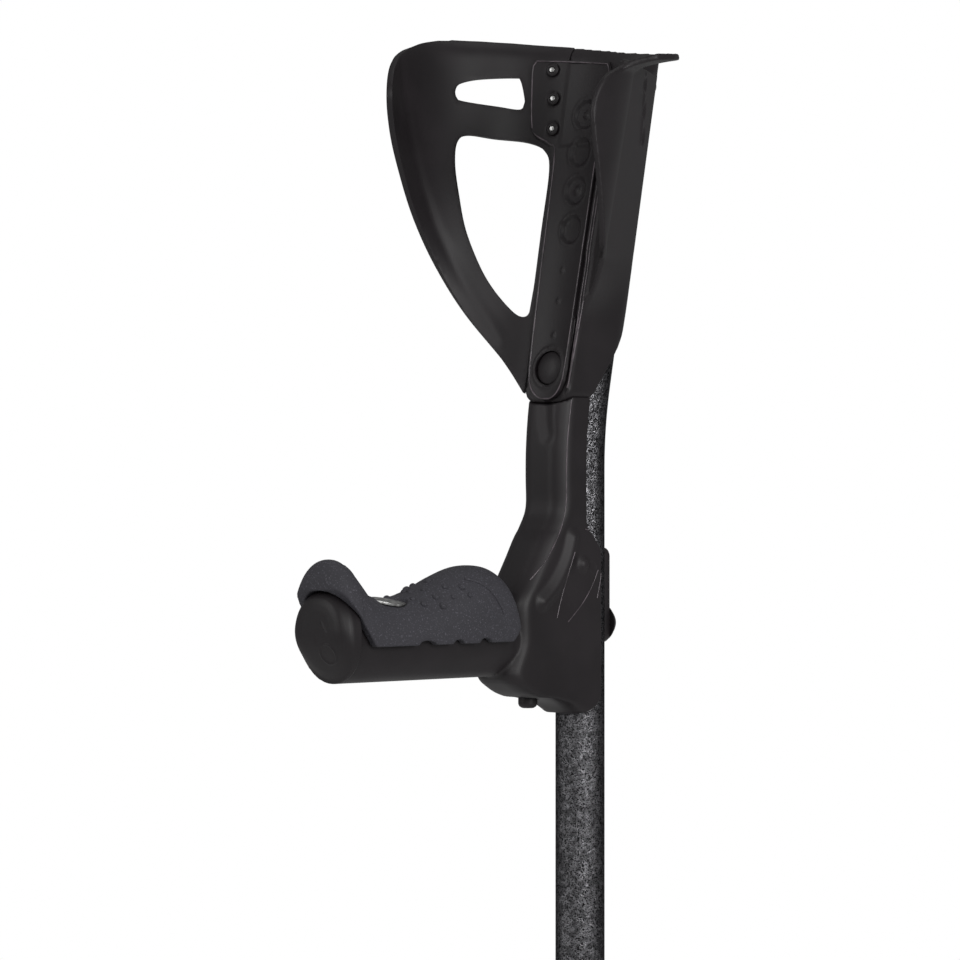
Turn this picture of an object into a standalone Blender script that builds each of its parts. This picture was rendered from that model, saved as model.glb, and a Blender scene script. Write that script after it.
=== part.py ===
"""Forearm crutch with an open cuff, a palm-shaped grip and a telescoping leg.

Metres, +Z up. The tube's straight lower part stands on the Z axis, the grip points along -Y,
and the origin is the middle of the ferrule's floor face.
"""
import math

import bmesh
import bpy
from mathutils import Matrix, Vector
from mathutils.geometry import delaunay_2d_cdt

MM = 0.001
GAP = 0.3 * MM            # between touching pieces
SEGMENTS = 32             # facets round a tube
FACET_TURN = 0.07         # keeps the facets of crossing round pieces from lining up

# Upper tube, straight and then tilted back
TUBE_D = 22.0 * MM
TUBE_WALL = 1.1 * MM
TUBE_BOTTOM = 360.0 * MM
TUBE_TOP = 1090.0 * MM
BEND_Z = 928.0 * MM       # where the two straight stretches would meet
BEND_R = 200.0 * MM
TILT = math.radians(11.0)

# Telescoping leg
LEG_D = 18.0 * MM
LEG_WALL = 1.2 * MM
LEG_LENGTH = 558.0 * MM
HOLE_PITCH = 25.0 * MM
HOLES_EACH_WAY = 3
BUTTON_BELOW_TOP = 42.1 * MM  # the leg's button below the leg's upper end
LEG_BUTTON_D = 7.0 * MM
LEG_BUTTON_OUT = 1.6 * MM  # how far the button stands out of the upper tube
BUTTON_FOOT_IN = 2.2 * MM  # how far the button's foot sits inside the leg's bore
BUTTON_FOOT_T = 1.0 * MM
HOLE_SLACK = 0.25 * MM     # round a pin in its hole
BUSH_LENGTH = 36.0 * MM
BUSH_FLANGE = 3.0 * MM
SLIDE_SLACK = 0.2 * MM     # each side between leg, bush and tube

# Ferrule
FERRULE_D = 39.0 * MM
FERRULE_H = 52.0 * MM
FERRULE_NECK_D = 25.0 * MM
FERRULE_SOLE = 12.0 * MM
DISC_T = 1.5 * MM

# Handle frame: housing and stem in front of the tube, grip core along -Y
HOUSING_BOTTOM = 800.0 * MM
STEM_TOP = 937.7 * MM
STEM_HALF_W = 13.0 * MM
STEM_FRONT = 26.4 * MM
STEM_CORNER = 8.0 * MM
STEM_BACK = -9.0 * MM       # and how far the stem above it does
STEM_BACK_LOW = 871.0 * MM  # the back edge moves between these heights
STEM_BACK_HIGH = 886.0 * MM
HOUSING_BACK = 0.6 * MM     # how far the housing reaches behind the tube's axis
TUBE_SLACK = 0.25 * MM     # round the tube in its saddle
GRIP_BOTTOM = 817.8 * MM
GRIP_BACK = 53.0 * MM      # distance of the pad's inner end from the tube
GRIP_SPLIT = 150.0 * MM    # where the end cap meets the core
GRIP_END = 161.0 * MM
PAD_T = 4.0 * MM
BOLT_Z = 839.7 * MM
BOLT_D = 6.0 * MM
BOLT_CAP_D = 17.0 * MM
BOLT_CAP_H = 7.2 * MM
SADDLE_W = 12.0 * MM
SADDLE_T = 2.0 * MM
SADDLE_TOP = 873.5 * MM
SADDLE_BOTTOM = 831.0 * MM
NUT_AF = 10.0 * MM
NUT_T = 5.0 * MM
NUT_Y = 34.0 * MM
BADGE_LONG = 19.0 * MM
BADGE_WIDE = 12.0 * MM
BADGE_T = 1.2 * MM
BADGE_Y = 124.0 * MM

# Cuff: a C-shaped shell round an axis in front of the tube
CUFF_BOTTOM = 938.0 * MM
CUFF_TOP = 1103.0 * MM
CUFF_DRAWN = 165.0 * MM    # the cuff height that the outlines below are drawn for
CUFF_R = 44.0 * MM         # inner radius this far above the cuff's lower end
CUFF_R_UP = 42.0 * MM
CUFF_GROWTH = 0.0766       # radius gained for each unit of height
CUFF_SETBACK = 23.0 * MM   # inner surface in front of the tube's axis
SHELL_T = 2.8 * MM
HOOP_T = 2.6 * MM
STRIP_T = 1.5 * MM
LIP_H = 9.0 * MM
LIP_NEAR = 21.0 * MM
LIP_FAR = 3.5 * MM
HEM_FLAT = 10.0 * MM       # the lower end is level up to here in front of the tube's axis
HEM_SLOPE = 1.25
SOCKET_WALL = 2.1 * MM
STUD_D = 3.0 * MM
STUD_HEAD_D = 6.0 * MM
STUD_HEAD_T = 0.9 * MM
POCKET_D = 13.0 * MM
CUFF_BUTTON_Z = CUFF_BOTTOM + 11.0 * MM
CUFF_BUTTON_D = 15.0 * MM
CUFF_BUTTON_TRAVEL = 3.0 * MM
CUFF_PEG_D = 6.0 * MM
CUFF_SCREW_UP = 147.5 * MM  # above the cuff's lower end
CUFF_SCREW_HEAD_D = 9.0 * MM
CUFF_SCREW_HEAD_T = 2.8 * MM
CUFF_SCREW_D = 5.0 * MM
CUFF_SCREW_TIP = 3.0 * MM  # distance of its tip from the tube's axis
PLUG_L = 20.0 * MM
BUTTON_FLOOR = TUBE_D / 2 + 2.2 * MM  # bottom of the button's pocket, from the tube's axis

# Derived from the sizes above
BEND_LOW = BEND_Z - BEND_R * math.tan(TILT / 2)
BEND_HIGH = BEND_Z + BEND_R * math.tan(TILT / 2) * math.cos(TILT)
TUBE_R = TUBE_D / 2
TUBE_BORE_R = TUBE_R - TUBE_WALL
LEG_R = LEG_D / 2
LEG_BORE_R = LEG_R - LEG_WALL
LEG_FOOT = FERRULE_SOLE + DISC_T + 2 * GAP
LEG_TOP = LEG_FOOT + LEG_LENGTH
LEG_BUTTON_Z = LEG_TOP - BUTTON_BELOW_TOP
AXIS_UP = Vector((0.0, math.sin(TILT), math.cos(TILT)))
AXIS_FRONT = Vector((0.0, -math.cos(TILT), math.sin(TILT)))

# Handle outlines
# Front of the housing and stem at each height, measured forward from the tube's axis
STEM_PROFILE = [(HOUSING_BOTTOM, 13.5 * MM), (804.6 * MM, 22.0 * MM), (807.5 * MM, 34.0 * MM),
                (808.3 * MM, 41.0 * MM), (812.0 * MM, 50.0 * MM), (818.6 * MM, 57.0 * MM),
                (832.0 * MM, GRIP_BACK - MM), (846.0 * MM, GRIP_BACK - MM),
                (852.0 * MM, 50.5 * MM), (860.0 * MM, 45.0 * MM),
                (868.0 * MM, 40.0 * MM), (871.0 * MM, 38.2 * MM), (874.0 * MM, 36.5 * MM),
                (877.4 * MM, 34.5 * MM), (880.0 * MM, 32.7 * MM), (883.0 * MM, 30.5 * MM),
                (891.5 * MM, STEM_FRONT), (905.0 * MM, STEM_FRONT), (920.0 * MM, STEM_FRONT),
                (STEM_TOP, STEM_FRONT)]
# Pad at each distance from the tube's axis: distance, half width, top
PAD_STATIONS = [(GRIP_BACK, 15.5 * MM, 853.0 * MM), (56.0 * MM, 16.6 * MM, 860.0 * MM),
                (60.0 * MM, 17.2 * MM, 863.8 * MM), (67.0 * MM, 17.9 * MM, 866.4 * MM),
                (78.0 * MM, 18.4 * MM, 866.3 * MM), (90.0 * MM, 18.6 * MM, 862.6 * MM),
                (102.0 * MM, 18.4 * MM, 857.6 * MM), (114.0 * MM, 18.0 * MM, 854.2 * MM),
                (128.0 * MM, 17.7 * MM, 852.8 * MM), (138.0 * MM, 17.6 * MM, 856.4 * MM),
                (145.0 * MM, 17.5 * MM, 863.8 * MM), (GRIP_SPLIT - GAP, 17.5 * MM, 869.2 * MM)]
HORN_STATIONS = [(GRIP_SPLIT, 17.6 * MM, 868.6 * MM), (153.0 * MM, 17.3 * MM, 870.4 * MM),
                 (157.0 * MM, 16.8 * MM, 868.8 * MM), (GRIP_END - 1.2 * MM, 15.6 * MM, 862.2 * MM)]
CAP_TOP = 857.0 * MM
CAP_HALF_W = 17.4 * MM
CAP_LEAN = 0.5             # how much the cap's face leans back below its middle
CAP_NARROW = 0.3           # how much narrower the face is at the bottom
PAD_LOW = 833.5 * MM
HORN_LOW = 853.5 * MM
OVAL_POWER = 2.2
OVAL_POINTS = 28

# Small parts of the handle
PEG_R = 5.0 * MM
PEG_L = 10.0 * MM
PEG_Z = 838.0 * MM
GRIP_SCREW_Y = 33.5 * MM
GRIP_SCREW_D = 3.5 * MM
GRIP_SCREW_L = 12.0 * MM
GRIP_SCREW_HEAD_D = 8.5 * MM
GRIP_SCREW_HEAD_T = 5.0 * MM
BADGE_TILT = math.radians(13.0)   # toward the +X side
BADGE_PITCH = math.radians(-6.0)  # along the grip's saddle
BADGE_X = 5.5 * MM
BADGE_CENTRE_Z = 852.6 * MM
BOLT_HEAD_D = 11.0 * MM
BOLT_HEAD_T = 3.0 * MM



def cuff_height(drawn):
    """The height of a point drawn so many millimetres up a cuff CUFF_DRAWN tall."""
    return CUFF_BOTTOM + drawn * MM * (CUFF_TOP - CUFF_BOTTOM) / CUFF_DRAWN


def on_cuff(points):
    return [(angle, cuff_height(drawn)) for angle, drawn in points]


# Cuff outlines, in degrees round the cuff (0 is the middle of its back, + toward +X) and heights
CUFF_SCREW_Z = CUFF_BOTTOM + CUFF_SCREW_UP
UNROLL = 0.9 * MM  # flat distance that stands for one degree of the cuff
# The rim's fall toward the +X side: angle and drop below the cuff's top
RIM_FALL = [(-60.0, 0.0), (-45.0, 0.7 * MM), (-20.0, 3.0 * MM), (0.0, 5.4 * MM),
            (20.0, 8.3 * MM), (40.0, 11.0 * MM), (60.0, 13.3 * MM), (92.0, 15.7 * MM)]
COLUMN_TOP = cuff_height(155.5)
COLUMN_SWELL = 0.7 * MM    # the column's wall gains this above the cuff's lower end
SWELL_LOW = cuff_height(14.0)
SWELL_HIGH = cuff_height(47.0)
WING_FOOT = 46.0          # the near wing's front angle where its edge leaves the arm's hollow
WING_LOW = cuff_height(66.0)
WING_END = cuff_height(34.0)  # where the wing's outer skin has run back into the column
# The near wing's front edge: angle and height, from the column up to the rim
NEAR_EDGE = on_cuff([(WING_FOOT, 64.0), (57.0, 68.5), (67.0, 79.5),
             (79.0, 99.7), (88.5, 119.0), (90.0, 129.0),
             (85.0, 139.5), (72.0, 146.0)])
# The far wing's front edge, from the column up to the rim
FAR_EDGE = on_cuff([(-21.0, 6.6), (-34.6, 19.0), (-58.9, 40.4), (-78.3, 61.8),
                    (-94.7, 82.9), (-109.0, 103.7), (-123.0, 122.0), (-131.0, 135.0),
                    (-125.5, 146.4), (-112.5, 155.4), (-97.0, 161.2), (-82.0, 164.2)])
LARGE_WINDOW = on_cuff([(-20.4, 52.0), (-19.8, 78.0), (-19.2, 105.0),
                (-23.0, 114.0), (-33.0, 118.4), (-50.0, 120.2),
                (-64.0, 121.6), (-70.0, 118.0), (-70.6, 108.0),
                (-67.5, 94.5), (-62.3, 78.3), (-52.9, 62.0),
                (-43.8, 51.2), (-33.0, 42.3), (-26.0, 39.0),
                (-21.4, 41.0)])
SMALL_WINDOW = on_cuff([(-36.3, 137.0), (-39.5, 146.8), (-43.0, 148.3),
                (-60.0, 147.4), (-70.0, 144.8), (-72.6, 141.5),
                (-71.5, 138.2), (-68.0, 136.9), (-50.0, 134.8),
                (-40.0, 133.4), (-37.0, 134.2)])
FLANGE_LEFT = -34.0
FLANGE_BOTTOM = cuff_height(121.5)
STRIP_LEFT = on_cuff([(-10.0, 1.0), (-15.0, 5.6), (-16.5, 17.0), (-17.0, 39.0),
              (-16.6, 108.0), (-19.5, 116.0), (-28.0, 120.2),
              (-31.6, 125.0), (-33.6, 142.0), (-34.0, 153.0),
              (-31.5, 156.2)])
STRIP_RIGHT = on_cuff([(13.0, 152.5), (16.2, 148.5), (16.6, 108.0), (17.0, 39.0),
               (16.5, 17.0), (15.0, 5.6), (10.0, 1.0)])
STUDS = on_cuff([(-18.8, 123.6), (-20.4, 137.4), (-22.6, 150.6)])
POCKET_HEIGHTS = [cuff_height(h) for h in (72.8, 90.5, 107.7, 125.0)]  # on the tube's axis


# Scene and mesh helpers

def clear_scene():
    for thing in list(bpy.data.objects):
        bpy.data.objects.remove(thing, do_unlink=True)


def material(name, colour, roughness, metallic=0.0):
    mat = bpy.data.materials.new(name)
    mat.use_nodes = True
    shader = mat.node_tree.nodes["Principled BSDF"]
    shader.inputs["Base Color"].default_value = (*colour, 1.0)
    shader.inputs["Roughness"].default_value = roughness
    shader.inputs["Metallic"].default_value = metallic
    mat.diffuse_color = (*colour, 1.0)
    return mat


def finish(bm, name, mat, smooth=True):
    bmesh.ops.remove_doubles(bm, verts=bm.verts, dist=1e-6)
    bmesh.ops.recalc_face_normals(bm, faces=bm.faces)
    mesh = bpy.data.meshes.new(name)
    bm.to_mesh(mesh)
    bm.free()
    if smooth:
        mesh.shade_smooth()
        mesh.set_sharp_from_angle(angle=math.radians(35))
    mesh.materials.append(mat)
    thing = bpy.data.objects.new(name, mesh)
    bpy.context.scene.collection.objects.link(thing)
    return thing


def loft(rings, closed=False):
    """A solid through rings of equal length, with its ends capped unless it closes on itself."""
    bm = bmesh.new()
    rows = [[bm.verts.new(p) for p in ring] for ring in rings]
    pairs = list(zip(rows, rows[1:]))
    if closed:
        pairs.append((rows[-1], rows[0]))
    count = len(rows[0])
    for low, high in pairs:
        for i in range(count):
            j = (i + 1) % count
            bm.faces.new((low[i], low[j], high[j], high[i]))
    if not closed:
        bm.faces.new(list(reversed(rows[0])))
        bm.faces.new(rows[-1])
    return bm


def turned(profile, segments=SEGMENTS, matrix=Matrix.Identity(4)):
    """A closed (radius, height) profile turned about Z; a radius of 0 lies on the axis."""
    bm = bmesh.new()
    columns = []
    for k in range(segments):
        a = 2 * math.pi * k / segments
        columns.append([bm.verts.new((r * math.cos(a), r * math.sin(a), z)) for r, z in profile])
    count = len(profile)
    for k in range(segments):
        here, there = columns[k], columns[(k + 1) % segments]
        for i in range(count):
            j = (i + 1) % count
            if profile[i][0] < 1e-9 and profile[j][0] < 1e-9:
                continue
            bm.faces.new((here[i], there[i], there[j], here[j]))
    bmesh.ops.remove_doubles(bm, verts=bm.verts, dist=1e-7)
    bmesh.ops.transform(bm, matrix=matrix, verts=bm.verts)
    return bm


def pipe_profile(outer, inner, low, high):
    return [(outer, high), (outer, low), (inner, low), (inner, high)]


def rod_profile(radius, low, high):
    return [(0.0, high), (radius, high), (radius, low), (0.0, low)]


def facing(origin, direction):
    """A matrix that turns +Z to a direction and moves it to an origin."""
    turn = Vector(direction).to_track_quat("Z", "Y").to_matrix().to_4x4()
    return Matrix.Translation(origin) @ turn @ Matrix.Rotation(FACET_TURN, 4, "Z")


def hide_cutter(thing):
    thing.hide_render = True
    thing.display_type = "WIRE"
    return thing


def boolean(thing, other, kind):
    step = thing.modifiers.new(kind.title(), "BOOLEAN")
    step.operation = kind
    step.object = other
    step.solver = "EXACT"
    return step


def applied(thing):
    """Turn an object's modifiers into its mesh, and delete the cutters that they used."""
    others = [m.object for m in thing.modifiers if m.type == "BOOLEAN"]
    graph = bpy.context.evaluated_depsgraph_get()
    graph.update()
    mesh = bpy.data.meshes.new_from_object(thing.evaluated_get(graph))
    bm = bmesh.new()
    bm.from_mesh(mesh)
    bmesh.ops.remove_doubles(bm, verts=bm.verts, dist=4e-6)
    bm.to_mesh(mesh)
    bm.free()
    old = thing.data
    thing.modifiers.clear()
    thing.data = mesh
    mesh.name = thing.name
    bpy.data.meshes.remove(old)
    for other in others:
        bpy.data.objects.remove(other, do_unlink=True)
    mesh.shade_smooth()
    mesh.set_sharp_from_angle(angle=math.radians(35))
    return thing


def cut(thing, *makers):
    for bm in makers:
        boolean(thing, hide_cutter(finish(bm, thing.name + "_cutter", thing.data.materials[0])),
                "DIFFERENCE")
    return applied(thing)


def join(thing, *makers):
    for bm in makers:
        boolean(thing, hide_cutter(finish(bm, thing.name + "_add", thing.data.materials[0])), "UNION")
    return applied(thing)


# The tube's line


def tilted_y(z):
    """Y of the tilted stretch's axis at a height."""
    return (z - BEND_Z) * math.tan(TILT)


def axis_y(z):
    """Y of the tube's axis at any height."""
    if z <= BEND_LOW:
        return 0.0
    if z >= BEND_HIGH:
        return tilted_y(z)
    rise = z - BEND_LOW
    return BEND_R - math.sqrt(BEND_R ** 2 - rise ** 2)


def axis_slope(z):
    if z <= BEND_LOW:
        return 0.0
    if z >= BEND_HIGH:
        return TILT
    return math.asin((z - BEND_LOW) / BEND_R)


def on_tilted_axis(z, front=0.0):
    """The point at a height on the tilted axis, moved square to it toward the front."""
    return Vector((0.0, tilted_y(z), z)) + AXIS_FRONT * front


def tube_stations(low, high, bends=5):
    inside = [BEND_LOW + (BEND_HIGH - BEND_LOW) * k / bends for k in range(bends + 1)]
    return [low] + [z for z in inside if low < z < high] + [high]


def tube_rings(radius, low, high):
    rings = []
    for z in tube_stations(low, high):
        slope = axis_slope(z)
        up = Vector((0.0, math.cos(slope), -math.sin(slope)))
        middle = Vector((0.0, axis_y(z), z))
        ring = []
        for k in range(SEGMENTS):
            a = 2 * math.pi * k / SEGMENTS
            ring.append(middle + Vector((radius * math.cos(a), 0, 0)) + up * radius * math.sin(a))
        rings.append(ring)
    return rings


def tube_solid(radius, low, high):
    return loft(tube_rings(radius, low, high))


def rounded_section(front, back, half_w, corner, z, back_corner=0.5 * MM, steps=4):
    """A horizontal outline with two rounded front corners, from front (Y least) round to back."""
    points = []
    for side, start in ((-1, math.pi), (1, 1.5 * math.pi)):
        for k in range(steps + 1):
            a = start + math.pi / 2 * k / steps
            points.append(Vector((side * (half_w - corner) + corner * math.cos(a),
                                  front + corner + corner * math.sin(a), z)))
    points.append(Vector((half_w, back - back_corner, z)))
    points.append(Vector((half_w - back_corner, back, z)))
    points.append(Vector((-half_w + back_corner, back, z)))
    points.append(Vector((-half_w, back - back_corner, z)))
    return points


# Tubes, leg and ferrule

def upper_tube(mat):
    tube = finish(loft([*tube_rings(TUBE_R, TUBE_BOTTOM, TUBE_TOP),
                        *reversed(tube_rings(TUBE_BORE_R, TUBE_BOTTOM, TUBE_TOP))], closed=True),
                  "upper_tube", mat)
    cutters = []
    for k in range(-HOLES_EACH_WAY, HOLES_EACH_WAY + 1):
        place = facing((0, 0, LEG_BUTTON_Z + k * HOLE_PITCH), (0, 1, 0))
        cutters.append(turned(rod_profile(LEG_BUTTON_D / 2 + HOLE_SLACK, 0.0, TUBE_D), 16, place))
    place = facing((0, 0, BOLT_Z), (0, 1, 0))
    cutters.append(turned(rod_profile(BOLT_D / 2 + HOLE_SLACK, -TUBE_D, TUBE_D), 16, place))
    place = facing(on_tilted_axis(CUFF_BUTTON_Z), AXIS_FRONT)
    cutters.append(turned(rod_profile(CUFF_PEG_D / 2 + 2 * HOLE_SLACK, 0.0, TUBE_D), 16, place))
    place = facing(on_tilted_axis(CUFF_SCREW_Z), -AXIS_FRONT)
    cutters.append(turned(rod_profile(CUFF_SCREW_D / 2 + HOLE_SLACK, 0.0, TUBE_D), 16, place))
    return cut(tube, *cutters)


def tube_plug(mat):
    """A plug with a thin head, pressed into the top end of the tube."""
    head = 2.0 * MM
    profile = [(0.0, head), (TUBE_R - head / 2, head), (TUBE_R, head / 2), (TUBE_R, GAP),
               (TUBE_BORE_R - GAP, GAP), (TUBE_BORE_R - GAP, -PLUG_L), (0.0, -PLUG_L)]
    top = Vector((0.0, axis_y(TUBE_TOP), TUBE_TOP))
    plug = finish(turned(profile, SEGMENTS, facing(top, AXIS_UP)), "tube_top_plug", mat)
    hole = turned(rod_profile(CUFF_SCREW_D / 2 + HOLE_SLACK, CUFF_SCREW_TIP - GAP, TUBE_D), 16,
                  facing(on_tilted_axis(CUFF_SCREW_Z), -AXIS_FRONT))
    return cut(plug, hole)


def guide_bush(mat):
    """The sleeve that keeps the leg from rattling, with a flange under the tube's end."""
    outer = TUBE_BORE_R - SLIDE_SLACK
    inner = LEG_R + SLIDE_SLACK
    top = TUBE_BOTTOM + BUSH_LENGTH
    profile = [(outer, top), (outer, TUBE_BOTTOM - GAP), (TUBE_R + 1.5 * MM, TUBE_BOTTOM - GAP),
               (TUBE_R + 1.5 * MM, TUBE_BOTTOM - GAP - BUSH_FLANGE),
               (inner, TUBE_BOTTOM - GAP - BUSH_FLANGE), (inner, top)]
    return finish(turned(profile), "guide_bush", mat)


def leg_tube(mat):
    leg = finish(turned(pipe_profile(LEG_R, LEG_BORE_R, LEG_FOOT, LEG_TOP)), "leg_tube", mat)
    place = facing((0, 0, LEG_BUTTON_Z), (0, 1, 0))
    return cut(leg, turned(rod_profile(LEG_BUTTON_D / 2 + HOLE_SLACK, 0.0, LEG_D), 16, place))


def leg_button(mat):
    """The domed button, with a foot inside the leg that keeps it from falling out."""
    tip = TUBE_R + LEG_BUTTON_OUT
    r = LEG_BUTTON_D / 2
    foot_r = r + 1.4 * MM
    foot_top = LEG_BORE_R - BUTTON_FOOT_IN
    profile = [(0.0, tip), (r * 0.55, tip - 0.4 * MM), (r, tip - 1.6 * MM), (r, foot_top),
               (foot_r, foot_top), (foot_r, foot_top - BUTTON_FOOT_T),
               (0.0, foot_top - BUTTON_FOOT_T)]
    place = facing((0, 0, LEG_BUTTON_Z), (0, 1, 0))
    return finish(turned(profile, 16, place), "leg_button", mat)


def leg_button_spring(mat):
    """A folded leaf inside the leg: one leaf under the button, the other along the front wall."""
    width = 7.0 * MM
    leaf = 0.7 * MM
    touch = LEG_BORE_R - BUTTON_FOOT_IN - BUTTON_FOOT_T - GAP
    front = -math.sqrt(LEG_BORE_R ** 2 - (width / 2) ** 2) + GAP
    low = LEG_BUTTON_Z - 30.0 * MM
    high = LEG_BUTTON_Z + 6.0 * MM
    outer = [(front, high), (front, low + 3.0 * MM), (front + 2.2 * MM, low),
             (front + 5.0 * MM, low), (touch, LEG_BUTTON_Z - 7.0 * MM), (touch, high)]
    inner = [(touch - leaf, high), (touch - leaf, LEG_BUTTON_Z - 6.8 * MM),
             (front + 4.6 * MM, low + leaf), (front + 2.4 * MM, low + leaf),
             (front + leaf, low + 3.2 * MM), (front + leaf, high)]
    outline = outer + inner
    rings = [[Vector((x, y, z)) for y, z in outline] for x in (-width / 2, width / 2)]
    return finish(loft(rings), "leg_button_spring", mat, smooth=False)


def ferrule(mat):
    """The rubber foot: a ringed sole, a waist and a neck that grips the leg."""
    r = FERRULE_D / 2
    neck = FERRULE_NECK_D / 2
    bore = LEG_R + SLIDE_SLACK
    rim = 2.0 * MM
    profile = [(neck - rim / 2, FERRULE_H), (neck + rim / 2, FERRULE_H - rim / 2),
               (neck + rim / 2, FERRULE_H - 5.0 * MM), (neck, FERRULE_H - 6.5 * MM),
               (neck + 0.4 * MM, 24.0 * MM), (r - 5.0 * MM, 11.0 * MM),
               (r - 3.0 * MM, 8.0 * MM), (r, 5.0 * MM), (r, rim), (r - rim, 0.0),
               (0.0, 0.0), (0.0, FERRULE_SOLE), (bore, FERRULE_SOLE), (bore, FERRULE_H)]
    return finish(turned(profile), "ferrule", mat)


def ferrule_disc(mat):
    """The steel disc that keeps the leg's end from cutting through the sole."""
    low = FERRULE_SOLE + GAP
    return finish(turned(rod_profile(LEG_R - GAP, low, low + DISC_T)), "ferrule_disc", mat)


# Handle frame, grip and its fastening


def oval(half_w, low, high, y, start=0.0, end=2 * math.pi, count=OVAL_POINTS, whole=True):
    """Points of a squarish oval across the grip, seen along Y."""
    middle = (low + high) / 2
    half_h = (high - low) / 2
    points = []
    for k in range(count):
        a = start + (end - start) * k / (count if whole else count - 1)
        c = math.cos(a)
        s = math.sin(a)
        points.append(Vector((math.copysign(abs(c) ** (2 / OVAL_POWER), c) * half_w, y,
                              middle + math.copysign(abs(s) ** (2 / OVAL_POWER), s) * half_h)))
    return points


def oval_angle(low, high, z):
    """The angle at which an oval passes a height, on its +X side."""
    share = max(-1.0, min(1.0, (z - (low + high) / 2) / ((high - low) / 2)))
    return math.asin(math.copysign(abs(share) ** (OVAL_POWER / 2), share))


def arch(outer_w, outer_top, inner_w, inner_top, low, y, count=16):
    """A closed arch-shaped section: over the outside, and back along the inside."""
    a = oval_angle(GRIP_BOTTOM, outer_top, low)
    outside = oval(outer_w, GRIP_BOTTOM, outer_top, y, a, math.pi - a, count, whole=False)
    b = oval_angle(GRIP_BOTTOM, inner_top, low)
    inside = oval(inner_w, GRIP_BOTTOM, inner_top, y, math.pi - b, b, count, whole=False)
    return outside + inside


def core_size(half_w, top):
    """Half width and top of the core under the pad."""
    return half_w - PAD_T - GAP, min(top - PAD_T - GAP, CAP_TOP)


def handle_frame(mat):
    """Housing, stem and grip core in one moulding, open behind the tube."""
    rings = []
    for z, front in curve_through(STEM_PROFILE, 2):
        back = HOUSING_BACK + (STEM_BACK - HOUSING_BACK) * ramp(z, STEM_BACK_LOW, STEM_BACK_HIGH)
        rings.append(rounded_section(axis_y(z) - front, axis_y(z) + back, STEM_HALF_W,
                                     STEM_CORNER, z))
    frame = finish(loft(rings), "handle_frame", mat)
    core = []
    for distance, half_w, top in [(STEM_FRONT, 14.0 * MM, 846.0 * MM), *curve_through(PAD_STATIONS, 2)]:
        w, high = core_size(half_w, top)
        core.append(oval(w, GRIP_BOTTOM, high, -distance))
    frame = join(frame, loft(list(reversed(core))))
    bolt = turned(rod_profile(BOLT_D / 2 + HOLE_SLACK, 0.0, NUT_Y + NUT_T + 4.0 * MM), 16,
                  facing((0, 0, BOLT_Z), (0, -1, 0)))
    nut = turned(rod_profile(NUT_AF / math.sqrt(3) + GAP, NUT_Y - GAP, NUT_Y + NUT_T + GAP), 6,
                 facing((0, 0, BOLT_Z), (0, -1, 0)))
    peg = turned(rod_profile(PEG_R + GAP, 0.0, PEG_L + GAP), 16,
                 facing((0, -GRIP_SPLIT, PEG_Z), (0, 1, 0)))
    screw = turned(rod_profile(GRIP_SCREW_D / 2 + HOLE_SLACK, -2.0 * MM, GRIP_SCREW_L + GAP), 12,
                   Matrix.Translation((0, -GRIP_SCREW_Y, 808.0 * MM)))
    seat = turned(rod_profile(GRIP_SCREW_HEAD_D / 2 + GAP, -8.0 * MM, GAP), 20,
                  Matrix.Translation((0, -GRIP_SCREW_Y, 808.0 * MM)))
    bore = tube_solid(TUBE_R + TUBE_SLACK, HOUSING_BOTTOM - 5 * MM, STEM_TOP + 5 * MM)
    return cut(frame, bore, bolt, nut, peg, screw, seat)


def grip_pad(mat):
    """The soft palm rest, arched over the core, with a horn over the end cap."""
    rings = []
    for distance, half_w, top in curve_through(PAD_STATIONS, 2):
        w, high = core_size(half_w, top)
        rings.append(arch(half_w, top, w + GAP, high + GAP, PAD_LOW, -distance))
    for distance, half_w, top in curve_through(HORN_STATIONS, 2):
        rings.append(arch(half_w, top, CAP_HALF_W + GAP, CAP_TOP + GAP, HORN_LOW, -distance))
    pad = finish(loft(rings), "grip_pad", mat)
    return cut(pad, badge_body(BADGE_T, GAP, 6.0 * MM))


def badge_body(depth, grow, rise):
    """An elliptical disc with its top face at the badge's place."""
    turn = Matrix.Rotation(BADGE_TILT, 4, "Y") @ Matrix.Rotation(BADGE_PITCH, 4, "X")
    place = Matrix.Translation((BADGE_X, -BADGE_Y, BADGE_CENTRE_Z)) @ turn
    bm = turned(rod_profile(1.0, -depth - grow, rise), 28)
    size = Matrix.Diagonal((BADGE_WIDE / 2 + grow, BADGE_LONG / 2 + grow, 1.0, 1.0))
    bmesh.ops.transform(bm, matrix=place @ size, verts=bm.verts)
    return bm


def grip_badge(mat):
    return finish(badge_body(BADGE_T, 0.0, 0.0), "grip_badge", mat)


def grip_end_cap(mat):
    """The domed cap on the grip's end, with a peg in the core."""
    steps = [(0.0, GRIP_SPLIT + GAP), (0.0, GRIP_END - 6.0 * MM), (1.3 * MM, GRIP_END - 3.0 * MM),
             (3.8 * MM, GRIP_END - 1.0 * MM), (8.0 * MM, GRIP_END)]
    rings = []
    for distance in (GRIP_SPLIT - PEG_L, GRIP_SPLIT + GAP):
        rings.append([Vector((PEG_R * math.cos(a), -distance, PEG_Z + PEG_R * math.sin(a)))
                      for a in (2 * math.pi * k / OVAL_POINTS for k in range(OVAL_POINTS))])
    middle = (GRIP_BOTTOM + CAP_TOP) / 2
    for inset, distance in steps:
        ring = oval(CAP_HALF_W - inset, GRIP_BOTTOM + inset, CAP_TOP - inset, -distance)
        for p in ring:
            below = max(0.0, middle - p.z) * ramp(distance, GRIP_SPLIT + MM, GRIP_END)
            p.y += CAP_LEAN * below
            p.x *= 1.0 - CAP_NARROW * below / (middle - GRIP_BOTTOM)
        rings.append(ring)
    return finish(loft(rings), "grip_end_cap", mat)


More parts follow.
